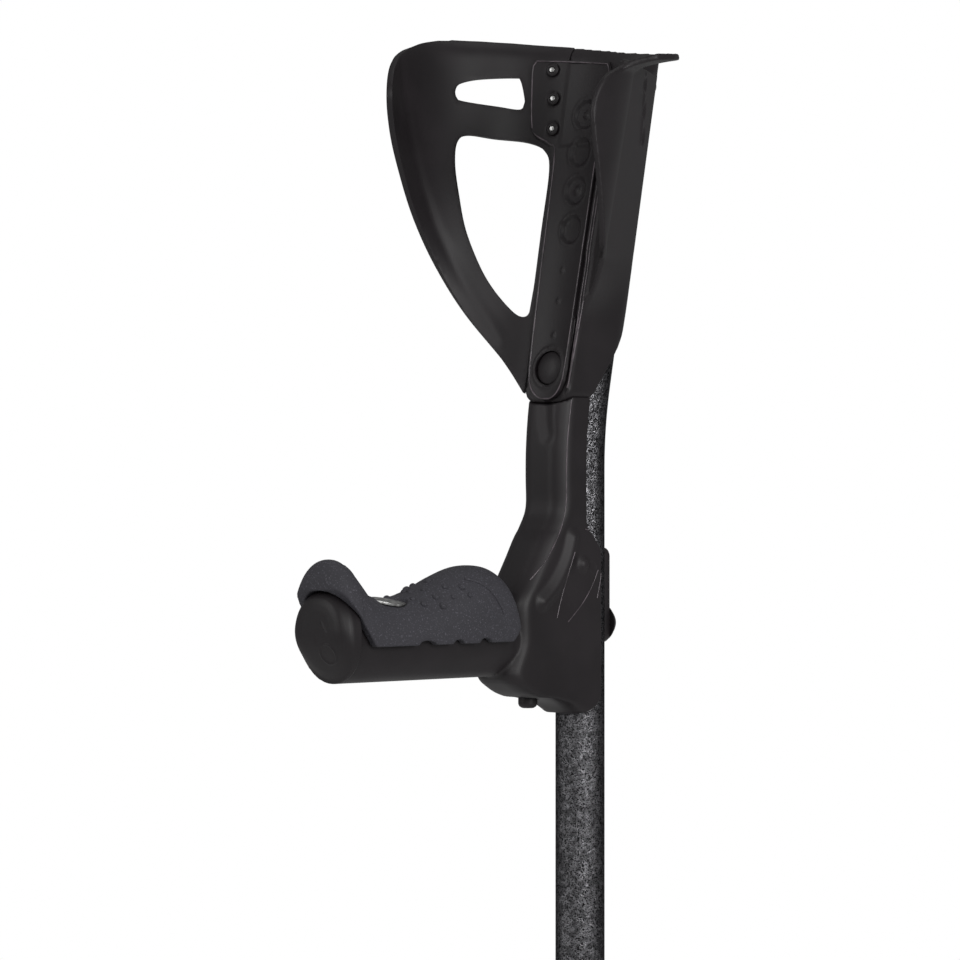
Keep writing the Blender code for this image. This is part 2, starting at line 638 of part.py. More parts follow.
def grip_screw(mat):
    """The screw that comes up into the housing's web from below."""
    r = GRIP_SCREW_HEAD_D / 2
    profile = [(0.0, GRIP_SCREW_L), (GRIP_SCREW_D / 2, GRIP_SCREW_L), (GRIP_SCREW_D / 2, 0.0),
               (r, 0.0), (r, -GRIP_SCREW_HEAD_T + MM), (r - MM, -GRIP_SCREW_HEAD_T),
               (0.0, -GRIP_SCREW_HEAD_T)]
    return finish(turned(profile, 20, Matrix.Translation((0, -GRIP_SCREW_Y, 808.0 * MM))),
                  "grip_screw", mat)


def rear_saddle(mat):
    """The plate behind the tube under the bolt's head, hollowed to the tube."""
    back = TUBE_R + SADDLE_T
    front = 0.75 * TUBE_R
    outline = rounded_outline(SADDLE_W / 2, (SADDLE_TOP - SADDLE_BOTTOM) / 2, 4.0 * MM)
    middle = (SADDLE_TOP + SADDLE_BOTTOM) / 2
    rings = [[Vector((x, y, middle + z)) for x, z in outline] for y in (front, back)]
    plate = finish(loft(rings), "rear_saddle", mat)
    hole = turned(rod_profile(BOLT_D / 2 + HOLE_SLACK, 0.0, 2 * back), 16,
                  facing((0, 0, BOLT_Z), (0, 1, 0)))
    tube = turned(rod_profile(TUBE_R + TUBE_SLACK, SADDLE_BOTTOM - MM, SADDLE_TOP + MM))
    return cut(plate, tube, hole)


def rounded_outline(half_w, half_h, corner, steps=4):
    points = []
    for quarter, (sx, sy) in enumerate(((1, 1), (-1, 1), (-1, -1), (1, -1))):
        for k in range(steps + 1):
            a = math.pi / 2 * (quarter + k / steps)
            points.append((sx * (half_w - corner) + corner * math.cos(a),
                           sy * (half_h - corner) + corner * math.sin(a)))
    return points


def handle_bolt(mat):
    """The bolt through saddle and tube into the grip core."""
    seat = TUBE_R + SADDLE_T + GAP
    r = BOLT_D / 2
    head = BOLT_HEAD_D / 2
    profile = [(0.0, seat + BOLT_HEAD_T), (head - 0.6 * MM, seat + BOLT_HEAD_T),
               (head, seat + BOLT_HEAD_T - 0.6 * MM), (head, seat), (r, seat),
               (r, -NUT_Y - NUT_T - 3.0 * MM), (0.0, -NUT_Y - NUT_T - 3.0 * MM)]
    return finish(turned(profile, 20, facing((0, 0, BOLT_Z), (0, 1, 0))), "handle_bolt", mat)


def bolt_cap(mat):
    """The domed cover pressed over the bolt's head."""
    seat = TUBE_R + SADDLE_T + GAP
    r = BOLT_CAP_D / 2
    inner = BOLT_HEAD_D / 2 + GAP
    profile = [(0.0, seat + BOLT_CAP_H), (r * 0.42, seat + BOLT_CAP_H * 0.93),
               (r * 0.76, seat + BOLT_CAP_H * 0.68), (r * 0.95, seat + BOLT_CAP_H * 0.35), (r, seat),
               (inner, seat), (inner, seat + BOLT_HEAD_T + GAP), (0.0, seat + BOLT_HEAD_T + GAP)]
    return finish(turned(profile, 24, facing((0, 0, BOLT_Z), (0, 1, 0))), "bolt_cap", mat)


def handle_nut(mat):
    r = NUT_AF / math.sqrt(3)
    bore = BOLT_D / 2 + GAP
    outer = turned(rod_profile(r, NUT_Y, NUT_Y + NUT_T), 6, facing((0, 0, BOLT_Z), (0, -1, 0)))
    nut = finish(outer, "handle_nut", mat, smooth=False)
    return cut(nut, turned(rod_profile(bore, 0.0, 2 * NUT_Y), 16, facing((0, 0, BOLT_Z), (0, -1, 0))))


# Cuff surface: angle 0 is the middle of its back, + toward +X, and heights are along Z

def cuff_radius(z):
    return CUFF_R + (z - CUFF_BOTTOM - CUFF_R_UP) * CUFF_GROWTH


def cuff_centre_y(z):
    return tilted_y(z) - CUFF_SETBACK - cuff_radius(z)


def ramp(value, low, high):
    t = max(0.0, min(1.0, (value - low) / (high - low)))
    return t * t * (3 - 2 * t)


def rim_height(angle):
    """The rim's height, lower on the +X side."""
    for (a1, fall1), (a2, fall2) in zip(RIM_FALL, RIM_FALL[1:]):
        if a1 <= angle <= a2:
            return CUFF_TOP - fall1 - (fall2 - fall1) * (angle - a1) / (a2 - a1)
    return CUFF_TOP - (RIM_FALL[0][1] if angle < RIM_FALL[0][0] else RIM_FALL[-1][1])


def lip(angle, z):
    """How far the rim curls outward."""
    share = max(0.0, (z - rim_height(angle) + LIP_H) / LIP_H)
    near = ramp(angle, 14.0, 46.0) * (1.0 - 0.7 * ramp(angle, 50.0, 92.0))
    return (LIP_FAR + (LIP_NEAR - LIP_FAR) * near) * min(1.0, share) ** 3


def cuff_surface(angle, z):
    r = cuff_radius(z) + lip(angle, z)
    a = math.radians(angle)
    return Vector((r * math.sin(a), cuff_centre_y(z) + r * math.cos(a), z))


def cuff_normal(angle, z):
    """The direction square to the surface, away from the arm."""
    along = cuff_surface(angle + 1.0, z) - cuff_surface(angle - 1.0, z)
    upward = cuff_surface(angle, z) - cuff_surface(angle, z - 0.5 * MM)
    return upward.normalized().cross(along.normalized()).normalized()


def cuff_point(angle, z, outward=0.0):
    return cuff_surface(angle, z) + cuff_normal(angle, z) * outward


def curve_through(points, steps=4):
    """A smooth run through points, its ends included."""
    padded = [points[0], *points, points[-1]]
    run = []
    for p0, p1, p2, p3 in zip(padded, padded[1:], padded[2:], padded[3:]):
        for k in range(steps):
            t = k / steps
            run.append(tuple(0.5 * (2 * b + (c - a) * t + (2 * a - 5 * b + 4 * c - d) * t * t
                                    + (3 * b - a - 3 * c + d) * t ** 3)
                             for a, b, c, d in zip(p0, p1, p2, p3)))
    run.append(tuple(points[-1]))
    return run


def closed_curve(points, steps=3):
    """A smooth closed outline through points."""
    run = curve_through([points[-1], *points, points[0], points[1]], steps)
    return run[steps:-2 * steps]


def flat(point):
    return Vector((point[0] * UNROLL, point[1]))


def split_loop(points, longest):
    """A closed outline with its long edges cut into shorter ones."""
    dense = []
    for a, b in zip(points, points[1:] + points[:1]):
        count = max(1, math.ceil((flat(b) - flat(a)).length / longest))
        for k in range(count):
            t = k / count
            dense.append((a[0] + (b[0] - a[0]) * t, a[1] + (b[1] - a[1]) * t))
    return dense


def inside_loop(point, loop):
    x, y = point
    hit = False
    for (x1, y1), (x2, y2) in zip(loop, loop[1:] + loop[:1]):
        if (y1 > y) != (y2 > y) and x < (x2 - x1) * (y - y1) / (y2 - y1) + x1:
            hit = not hit
    return hit


def curved_sheet(outline, windows, outward, thickness, spacing=7.0 * MM, longest=6.0 * MM,
                 extra=()):
    """A sheet on the cuff's surface, with windows, from its outline in angles and heights."""
    loops = [split_loop(loop, longest) for loop in [outline, *windows]]
    points = [p for loop in loops for p in loop]
    edges = []
    start = 0
    for loop in loops:
        edges += [(start + k, start + (k + 1) % len(loop)) for k in range(len(loop))]
        start += len(loop)

    def in_sheet(p):
        return inside_loop(p, loops[0]) and not any(inside_loop(p, hole) for hole in loops[1:])

    points += [p for p in extra if in_sheet(p)]
    kept = [flat(p) for p in points]
    lows = [min(p[k] for p in loops[0]) for k in (0, 1)]
    highs = [max(p[k] for p in loops[0]) for k in (0, 1)]
    for i in range(1, int((highs[0] - lows[0]) * UNROLL / spacing) + 1):
        for j in range(1, int((highs[1] - lows[1]) / spacing) + 1):
            p = (lows[0] + i * spacing / UNROLL, lows[1] + j * spacing)
            if in_sheet(p) and min((flat(p) - q).length for q in kept) > 0.45 * spacing:
                points.append(p)
    found = delaunay_2d_cdt([flat(p) for p in points], edges, [], 0, 1e-7)
    spots = [(v.x / UNROLL, v.y) for v in found[0]]
    faces = []
    for face in found[2]:
        middle = tuple(sum(spots[k][axis] for k in face) / len(face) for axis in (0, 1))
        if in_sheet(middle):
            faces.append(face)
    bm = bmesh.new()
    inner = [bm.verts.new(cuff_point(*p, outward)) for p in spots]
    outer = [bm.verts.new(cuff_point(*p, outward + thickness)) for p in spots]
    border = {}
    for face in faces:
        bm.faces.new([inner[k] for k in reversed(face)])
        bm.faces.new([outer[k] for k in face])
        for a, b in zip(face, face[1:] + face[:1]):
            border[(a, b)] = border.get((a, b), 0) + 1
    for a, b in border:
        if (b, a) not in border:
            bm.faces.new((outer[b], outer[a], inner[a], inner[b]))
    loose = [v for v in bm.verts if not v.link_faces]
    bmesh.ops.delete(bm, geom=loose, context="VERTS")
    return bm


def lip_points(start, end):
    """Rows of points along the lip, where the surface turns outward most."""
    return [(angle, rim_height(angle) - LIP_H * share)
            for share in (0.9, 0.6, 0.3) for angle in range(start, end, 6)]


def column_half_w(z):
    return TUBE_R + SOCKET_WALL + COLUMN_SWELL * ramp(z, SWELL_LOW, SWELL_HIGH)


def wing_reach(z):
    """The near wing's front angle at a height."""
    run = curve_through(NEAR_EDGE)
    for (a1, z1), (a2, z2) in zip(run, run[1:]):
        if z1 <= z <= z2:
            return a1 + (a2 - a1) * (z - z1) / (z2 - z1)
    return run[0][0] if z < run[0][1] else run[-1][0]


def root_angle(z):
    """Where the far wing meets the column's side."""
    return -math.degrees(math.asin((column_half_w(z) + GAP) / cuff_radius(z)))


def evenly(points, count):
    """Points spread evenly along a run."""
    lengths = [0.0]
    for a, b in zip(points, points[1:]):
        lengths.append(lengths[-1] + (b - a).length)
    spread = []
    k = 0
    for i in range(count):
        at = lengths[-1] * i / (count - 1)
        while k < len(points) - 2 and lengths[k + 1] < at:
            k += 1
        t = (at - lengths[k]) / max(1e-9, lengths[k + 1] - lengths[k])
        spread.append(points[k].lerp(points[k + 1], min(1.0, t)))
    return spread


def body_section(z):
    """Column and wing root at a height: round the tube at the back, hollowed by the arm in front."""
    skin = 0.4 * MM
    half_w = column_half_w(z)
    inner_r = cuff_radius(z) + skin
    outer_r = cuff_radius(z) + SHELL_T - skin
    centre = Vector((0.0, cuff_centre_y(z)))
    axis = Vector((0.0, tilted_y(z)))
    side = math.asin(half_w / inner_r)
    reach = math.radians(wing_reach(z) - 1.5)
    reach = side + (reach - side) * ramp(z, WING_END, WING_LOW)
    inner = [centre + inner_r * Vector((math.sin(a), math.cos(a)))
             for a in (reach + (-side - reach) * k / 13 for k in range(14))]
    spacing = (axis - centre).length
    meet = math.pi / 2 - math.asin((outer_r - half_w) / spacing)
    if reach > meet:
        wing = [centre + outer_r * Vector((math.sin(a), math.cos(a)))
                for a in (meet + (reach - meet) * k / 6 for k in range(7))]
        leave = math.pi / 2 - meet
    else:
        tip = centre + outer_r * Vector((math.sin(reach), math.cos(reach)))
        away = tip - axis
        leave = math.atan2(away.y, away.x) + math.acos(min(1.0, half_w / away.length))
        wing = [tip]
    round_back = [axis + half_w * Vector((math.cos(a), math.sin(a)))
                  for a in (math.pi + (leave - math.pi) * k / 12 for k in range(13))]
    return [Vector((p.x, p.y, z)) for p in inner + evenly(round_back + wing, 24)]


def hem_cutter():
    """A wedge that slants the column's lower end up toward the back."""
    start = tilted_y(CUFF_BOTTOM) - HEM_FLAT
    low = Vector((0.0, start - 2 * MM, CUFF_BOTTOM - 2 * MM * HEM_SLOPE))
    run = 40.0 * MM
    section = [low, low + Vector((0, run, 0)), low + Vector((0, run, run * HEM_SLOPE))]
    return loft([[p + Vector((x, 0, 0)) for p in section] for x in (-30 * MM, 30 * MM)])


def front_hole(z, radius, near, far, segments=20):
    """A cutter along the line square to the tilted tube, between two distances in front of it."""
    return turned(rod_profile(radius, near, far), segments, facing(on_tilted_axis(z), AXIS_FRONT))


def square_to_cuff(angle, z):
    """A place on the cuff's surface, with +Z square to it and away from the arm."""
    return facing(cuff_surface(angle, z), cuff_normal(angle, z))


def stud_hole(angle, z, radius):
    return turned(rod_profile(radius, -8.0 * MM, 8.0 * MM), 12, square_to_cuff(angle, z))


def cuff_shell(mat):
    """The near wing, the column round the tube and the flange behind the far wing's root."""
    heights = [cuff_height(h) for h in (0.0, 14.0, 24.0, 34.0, 40.0, 46.0, 52.0, 58.0, 66.0,
                                        76.0, 88.0, 102.0, 118.0, 128.0, 136.0)]
    shell = finish(loft([body_section(z) for z in heights]), "cuff_shell", mat)
    edge = curve_through(NEAR_EDGE, 3)
    top = [(angle, rim_height(angle)) for angle in (60.0, 48.0, 36.0, 24.0, 12.0, 0.0, -14.0)]
    sheet = [(-14.0, CUFF_BOTTOM + 2 * MM), (14.0, CUFF_BOTTOM + 2 * MM), (14.0, WING_LOW),
             *edge, *top]
    flange = [(-12.0, FLANGE_BOTTOM), (FLANGE_LEFT + 3.0, FLANGE_BOTTOM),
              (FLANGE_LEFT, FLANGE_BOTTOM + 3 * MM), (FLANGE_LEFT, CUFF_TOP - 6 * MM),
              (FLANGE_LEFT + 3.0, CUFF_TOP - 3 * MM), (-12.0, CUFF_TOP - 3 * MM)]
    collar = [column_section(z) for z in (cuff_height(102.0), COLUMN_TOP)]
    shell = join(shell, curved_sheet(sheet, [], 0.0, SHELL_T, extra=lip_points(-10, 88)),
                 loft(collar),
                 curved_sheet(flange, [], HOOP_T + 2 * GAP, HOOP_T))
    cutters = [tube_solid(TUBE_R + TUBE_SLACK, CUFF_BOTTOM - 10 * MM, CUFF_TOP + 10 * MM)]
    cutters.append(hem_cutter())
    cutters += [stud_hole(angle, z, STUD_D / 2 + HOLE_SLACK) for angle, z in STUDS]
    cutters.append(front_hole(CUFF_BUTTON_Z, CUFF_BUTTON_D / 2 + GAP, BUTTON_FLOOR, 40 * MM, 24))
    cutters.append(front_hole(CUFF_BUTTON_Z, CUFF_PEG_D / 2 + GAP, 0.0, 40 * MM))
    cutters.append(turned(rod_profile(CUFF_SCREW_D / 2 + HOLE_SLACK, 0.0, TUBE_D), 16,
                          facing(on_tilted_axis(CUFF_SCREW_Z), -AXIS_FRONT)))
    return cut(shell, *cutters)


def column_section(z):
    """The column by itself, for the stretch beside the rim."""
    axis = Vector((0.0, tilted_y(z), z))
    front = -CUFF_SETBACK + 0.6 * MM
    w = column_half_w(z) - 0.15 * MM
    arc = [Vector((w * math.cos(math.pi * k / 12), w * math.sin(math.pi * k / 12), 0))
           for k in range(13)]
    return [axis + p for p in [Vector((-w, front, 0)), Vector((w, front, 0)), *arc]]


def cuff_hoop(mat):
    """The far wing, a springy hoop with two windows, studded to the flange."""
    edge = curve_through(FAR_EDGE, 3)
    heights = [cuff_height(h) for h in (147.0, 122.0, 92.0, 62.0, 47.0, 32.0, 14.0)]
    rim = [(angle, rim_height(angle)) for angle in (-68.0, -57.0, -46.0, -36.0, -27.0)]
    corner = root_angle(CUFF_TOP)
    root = [*rim, (corner, rim_height(corner)), *((root_angle(z), z) for z in heights)]
    windows = [closed_curve(LARGE_WINDOW, 2), closed_curve(SMALL_WINDOW, 2)]
    hoop = finish(curved_sheet([*edge, *root], windows, 0.0, HOOP_T, extra=lip_points(-110, -18)),
                  "cuff_hoop", mat)
    return cut(hoop, *(stud_hole(angle, z, STUD_D / 2 + HOLE_SLACK) for angle, z in STUDS))


def spine_strip(mat):
    """The cover strip down the cuff's back, with four pockets and the button's hole."""
    outline = [*STRIP_LEFT, *STRIP_RIGHT]
    strip = finish(curved_sheet(outline, [], -STRIP_T - GAP, STRIP_T), "spine_strip", mat)
    cutters = [front_hole(z, POCKET_D / 2, TUBE_R, 40 * MM) for z in POCKET_HEIGHTS]
    cutters += [stud_hole(angle, z, STUD_D / 2 + HOLE_SLACK) for angle, z in STUDS]
    cutters.append(front_hole(CUFF_BUTTON_Z, CUFF_BUTTON_D / 2 + GAP, TUBE_R, 40 * MM, 24))
    return cut(strip, *cutters)


def hoop_stud(number, mat):
    """A stud through strip, wing and flange, riveted at its back."""
    front = -STRIP_T - 2 * GAP
    back = 2 * HOOP_T + 3 * GAP
    r = STUD_D / 2
    head = STUD_HEAD_D / 2
    tail = STUD_D * 0.85
    profile = [(0.0, back + 1.2 * MM), (tail - 0.6 * MM, back + 1.2 * MM), (tail, back), (r, back),
               (r, front), (head, front), (head - 0.5 * MM, front - STUD_HEAD_T),
               (0.0, front - STUD_HEAD_T)]
    return finish(turned(profile, 16, square_to_cuff(*STUDS[number])),
                  f"hoop_stud_{number + 1}", mat)


def cuff_screw(mat):
    """The screw at the back that holds the cuff and the tube's plug."""
    seat = column_half_w(CUFF_SCREW_Z) + GAP
    r = CUFF_SCREW_D / 2
    head = CUFF_SCREW_HEAD_D / 2
    tall = CUFF_SCREW_HEAD_T
    profile = [(0.0, seat + tall), (head * 0.6, seat + tall * 0.9), (head, seat + tall * 0.4),
               (head, seat), (r, seat), (r, CUFF_SCREW_TIP), (0.0, CUFF_SCREW_TIP)]
    return finish(turned(profile, 20, facing(on_tilted_axis(CUFF_SCREW_Z), -AXIS_FRONT)),
                  "cuff_screw", mat)


def cuff_button(mat):
    """The domed button with its peg in the tube's hole."""
    tip = CUFF_SETBACK + STRIP_T + 1.6 * MM
    back = BUTTON_FLOOR + CUFF_BUTTON_TRAVEL + 2.3 * MM
    r = CUFF_BUTTON_D / 2
    peg = CUFF_PEG_D / 2
    profile = [(0.0, tip), (r * 0.45, tip - 0.25 * MM), (r * 0.82, tip - 1.0 * MM),
               (r, tip - 2.0 * MM), (r, back), (peg, back), (peg, TUBE_R - 3.0 * MM),
               (peg - 0.8 * MM, TUBE_R - 4.0 * MM), (0.0, TUBE_R - 4.0 * MM)]
    return finish(turned(profile, 24, facing(on_tilted_axis(CUFF_BUTTON_Z), AXIS_FRONT)),
                  "cuff_button", mat)


def cuff_button_spring(mat):
    """A coil between the pocket's floor and the button's back."""
    wire = 0.45 * MM
    radius = 5.0 * MM
    low = BUTTON_FLOOR + GAP + wire
    high = BUTTON_FLOOR + CUFF_BUTTON_TRAVEL + 2.3 * MM - GAP - wire
    turns = 3
    steps = 10
    place = facing(on_tilted_axis(CUFF_BUTTON_Z), AXIS_FRONT)
    rings = []
    for k in range(turns * steps + 1):
        a = 2 * math.pi * k / steps
        out = Vector((math.cos(a), math.sin(a), 0.0))
        middle = out * radius + Vector((0, 0, low + (high - low) * k / (turns * steps)))
        ring = []
        for i in range(6):
            b = 2 * math.pi * i / 6
            ring.append(place @ (middle + out * wire * math.cos(b)
                                 + Vector((0, 0, wire * math.sin(b)))))
        rings.append(ring)
    return finish(loft(rings), "cuff_button_spring", mat)


def attach(joint_name, origin, things):
    """Parent moving pieces to an empty on their joint."""
    empty = bpy.data.objects.new(joint_name, None)
    empty.location = origin
    bpy.context.scene.collection.objects.link(empty)
    for thing in things:
        thing.parent = empty
        thing.matrix_parent_inverse = Matrix.Translation(-Vector(origin))


def build():
    clear_scene()
    hammered = material("hammered_paint", (0.055, 0.055, 0.058), 0.38, 0.6)
    leg_metal = material("leg_aluminium", (0.62, 0.62, 0.63), 0.3, 1.0)
    black = material("black_plastic", (0.017, 0.016, 0.017), 0.42)
    soft = material("grey_rubber", (0.045, 0.045, 0.052), 0.7)
    steel = material("zinc_steel", (0.55, 0.55, 0.55), 0.3, 1.0)
    rubber = material("black_rubber", (0.02, 0.02, 0.02), 0.8)
    bush = material("grey_nylon", (0.2, 0.2, 0.2), 0.5)
    badge = material("badge_metal", (0.4, 0.4, 0.42), 0.3, 1.0)

    upper_tube(hammered)
    tube_plug(black)
    guide_bush(bush)
    handle_frame(black)
    grip_pad(soft)
    grip_end_cap(black)
    grip_badge(badge)
    grip_screw(steel)
    rear_saddle(black)
    handle_bolt(steel)
    handle_nut(steel)
    bolt_cap(black)
    cuff_shell(black)
    cuff_hoop(black)
    spine_strip(black)
    for number in range(len(STUDS)):
        hoop_stud(number, steel)
    cuff_screw(steel)
    cuff_button_spring(steel)
    attach("cuff_button_joint", on_tilted_axis(CUFF_BUTTON_Z), [cuff_button(black)])
    leg_parts = [leg_tube(leg_metal), leg_button_spring(steel), ferrule(rubber), ferrule_disc(steel)]
    attach("leg_joint", (0, 0, TUBE_BOTTOM), leg_parts)
    attach("leg_button_joint", (0, 0, LEG_BUTTON_Z), [leg_button(steel)])


build()
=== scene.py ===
import math

import bmesh
import bpy
import numpy as np
from bpy.props import FloatProperty, FloatVectorProperty, IntProperty, PointerProperty
from mathutils import Matrix, Vector
from mathutils.bvhtree import BVHTree
from mathutils.geometry import delaunay_2d_cdt
from mathutils.kdtree import KDTree


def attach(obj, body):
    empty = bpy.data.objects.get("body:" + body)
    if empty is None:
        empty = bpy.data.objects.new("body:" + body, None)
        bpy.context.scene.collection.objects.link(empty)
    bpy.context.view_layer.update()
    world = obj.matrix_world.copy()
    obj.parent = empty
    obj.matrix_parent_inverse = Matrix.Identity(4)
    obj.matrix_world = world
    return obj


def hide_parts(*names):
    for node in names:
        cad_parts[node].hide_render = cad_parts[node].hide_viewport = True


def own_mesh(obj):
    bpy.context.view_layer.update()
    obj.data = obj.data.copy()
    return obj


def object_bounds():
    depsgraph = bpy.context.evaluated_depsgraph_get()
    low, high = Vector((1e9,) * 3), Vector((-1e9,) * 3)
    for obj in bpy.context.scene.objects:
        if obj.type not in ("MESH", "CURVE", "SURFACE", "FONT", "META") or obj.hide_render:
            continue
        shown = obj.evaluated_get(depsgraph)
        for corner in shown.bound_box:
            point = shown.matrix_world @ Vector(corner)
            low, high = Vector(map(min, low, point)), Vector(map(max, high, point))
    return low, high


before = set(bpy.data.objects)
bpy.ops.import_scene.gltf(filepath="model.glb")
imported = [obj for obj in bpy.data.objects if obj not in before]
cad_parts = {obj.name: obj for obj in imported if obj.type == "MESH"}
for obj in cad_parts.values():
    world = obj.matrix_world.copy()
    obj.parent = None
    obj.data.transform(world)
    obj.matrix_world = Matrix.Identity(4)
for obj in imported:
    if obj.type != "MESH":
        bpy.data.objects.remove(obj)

bl_info = {
    "name": "Forearm crutch",
    "version": (1, 0, 0),
    "blender": (4, 5, 0),
    "location": "3D View > Sidebar > Crutch",
    "description": "Dresses the crutch's frame with moulded, painted and turned pieces",
    "category": "Add Mesh",
}

CAD_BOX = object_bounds()
MM = 0.001
GAP = 0.3 * MM
FACET_TURN = 0.07
SHARP_ANGLE = 35.0


# Sizes and colours that a user would change

class CrutchSizes(bpy.types.PropertyGroup):
    tube_d: FloatProperty(
        name="Tube diameter", description="Outside of the painted tube", default=0.022, unit="LENGTH")
    tube_wall: FloatProperty(
        name="Tube wall", description="Wall of the painted tube", default=0.0011, unit="LENGTH")
    tilt: FloatProperty(
        name="Tilt", description="Lean of the tube above its bend", default=math.radians(11.0),
        unit="ROTATION")
    bend_r: FloatProperty(
        name="Bend radius", description="Radius of the tube's bend", default=0.2, unit="LENGTH")
    leg_d: FloatProperty(
        name="Leg diameter", description="Outside of the sliding leg", default=0.018, unit="LENGTH")
    ferrule_d: FloatProperty(
        name="Ferrule diameter", description="Sole of the rubber foot", default=0.039, unit="LENGTH")
    ferrule_h: FloatProperty(
        name="Ferrule height", description="Height of the rubber foot", default=0.052, unit="LENGTH")
    cuff_r: FloatProperty(
        name="Cuff radius", description="Inner radius near the cuff's lower end", default=0.044,
        unit="LENGTH")
    shell_t: FloatProperty(
        name="Cuff wall", description="Wall of the cuff's near wing", default=0.0028, unit="LENGTH")
    hoop_t: FloatProperty(
        name="Hoop wall", description="Wall of the cuff's far wing", default=0.0026, unit="LENGTH")
    strip_t: FloatProperty(
        name="Strip wall", description="Wall of the strip inside the cuff", default=0.0015,
        unit="LENGTH")
    pad_t: FloatProperty(
        name="Pad wall", description="Wall of the soft pad on the grip", default=0.004, unit="LENGTH")
    voxel: FloatProperty(
        name="Moulding grain", description="Cell size of the moulded meshes", default=0.0007,
        unit="LENGTH")
    tube_segments: IntProperty(
        name="Tube facets", description="Facets round a tube", default=96, min=12)


class CrutchColours(bpy.types.PropertyGroup):
    paint: FloatVectorProperty(
        name="Paint", description="Hammered paint's flakes", default=(0.075, 0.074, 0.078),
        subtype="COLOR")
    plastic: FloatVectorProperty(
        name="Plastic", description="Black moulded plastic", default=(0.0098, 0.0078, 0.0090),
        subtype="COLOR")
    pad: FloatVectorProperty(
        name="Pad", description="Soft grey grip", default=(0.0275, 0.0265, 0.0320), subtype="COLOR")
    steel: FloatVectorProperty(
        name="Steel", description="Zinc plated steel", default=(0.50, 0.50, 0.49), subtype="COLOR")
    aluminium: FloatVectorProperty(
        name="Aluminium", description="Drawn leg tube", default=(0.60, 0.60, 0.61), subtype="COLOR")
    rubber: FloatVectorProperty(
        name="Rubber", description="Black rubber foot", default=(0.016, 0.016, 0.016),
        subtype="COLOR")
    nylon: FloatVectorProperty(
        name="Nylon", description="Guide bush", default=(0.18, 0.18, 0.18), subtype="COLOR")
    floor: FloatVectorProperty(
        name="Floor", description="Studio floor", default=(0.72, 0.72, 0.72), subtype="COLOR")


def size(name):
    return getattr(bpy.context.scene.crutch_sizes, name)


def colour(name):
    return (*getattr(bpy.context.scene.crutch_colours, name), 1.0)


# Places along the crutch, in metres from the floor
TUBE_BOTTOM = 360.0 * MM
TUBE_TOP = 1090.0 * MM
BEND_Z = 928.0 * MM
LEG_LENGTH = 558.0 * MM
LEG_WALL = 1.2 * MM
HOLE_PITCH = 25.0 * MM
HOLES_EACH_WAY = 3
BUTTON_BELOW_TOP = 42.1 * MM
LEG_BUTTON_D = 7.0 * MM
LEG_BUTTON_OUT = 1.6 * MM
BUTTON_FOOT_IN = 2.2 * MM
BUTTON_FOOT_T = 1.0 * MM
LEG_BUTTON_TRAVEL = 3.0 * MM
LEAF_W = 7.0 * MM
HOLE_SLACK = 0.25 * MM
BUSH_LENGTH = 36.0 * MM
BUSH_FLANGE = 3.0 * MM
SLIDE_SLACK = 0.2 * MM
FERRULE_NECK_D = 25.0 * MM
FERRULE_SOLE = 12.0 * MM
DISC_T = 1.5 * MM

# Handle
HOUSING_BOTTOM = 800.0 * MM
CUFF_BOTTOM_EDGE = 943.0 * MM
STEM_HALF_W = 13.0 * MM
STEM_FRONT = 26.4 * MM
STEM_CORNER = 8.0 * MM
STEM_BACK = -9.0 * MM
STEM_BACK_LOW = 871.0 * MM
STEM_BACK_HIGH = 886.0 * MM
HOUSING_BACK = 0.6 * MM
TUBE_SLACK = 0.25 * MM
GRIP_BOTTOM = 817.8 * MM
GRIP_BACK = 53.0 * MM
GRIP_SPLIT = 150.0 * MM
GRIP_END = 161.0 * MM
BOLT_Z = 839.7 * MM
BOLT_D = 6.0 * MM
BOLT_CAP_D = 17.0 * MM
BOLT_CAP_H = 7.2 * MM
SADDLE_W = 12.0 * MM
SADDLE_T = 2.0 * MM
SADDLE_TOP = 873.5 * MM
SADDLE_BOTTOM = 831.0 * MM
BADGE_LONG = 19.0 * MM
BADGE_WIDE = 12.0 * MM
BADGE_T = 1.2 * MM
BADGE_Y = 124.0 * MM
BADGE_TILT = math.radians(13.0)
BADGE_PITCH = math.radians(-6.0)
BADGE_X = 5.5 * MM
BADGE_CENTRE_Z = 852.6 * MM
STEM_PROFILE = [(HOUSING_BOTTOM, 13.5 * MM), (804.6 * MM, 22.0 * MM), (807.5 * MM, 34.0 * MM),
                (808.3 * MM, 41.0 * MM), (812.0 * MM, 50.0 * MM), (818.6 * MM, 57.0 * MM),
                (832.0 * MM, GRIP_BACK - MM), (846.0 * MM, GRIP_BACK - MM),
                (852.0 * MM, 50.5 * MM), (860.0 * MM, 45.0 * MM),
                (868.0 * MM, 40.0 * MM), (871.0 * MM, 38.2 * MM), (874.0 * MM, 36.5 * MM),
                (877.4 * MM, 34.5 * MM), (880.0 * MM, 32.7 * MM), (883.0 * MM, 30.5 * MM),
                (891.5 * MM, STEM_FRONT), (905.0 * MM, STEM_FRONT), (920.0 * MM, STEM_FRONT),
                (CUFF_BOTTOM_EDGE, STEM_FRONT)]
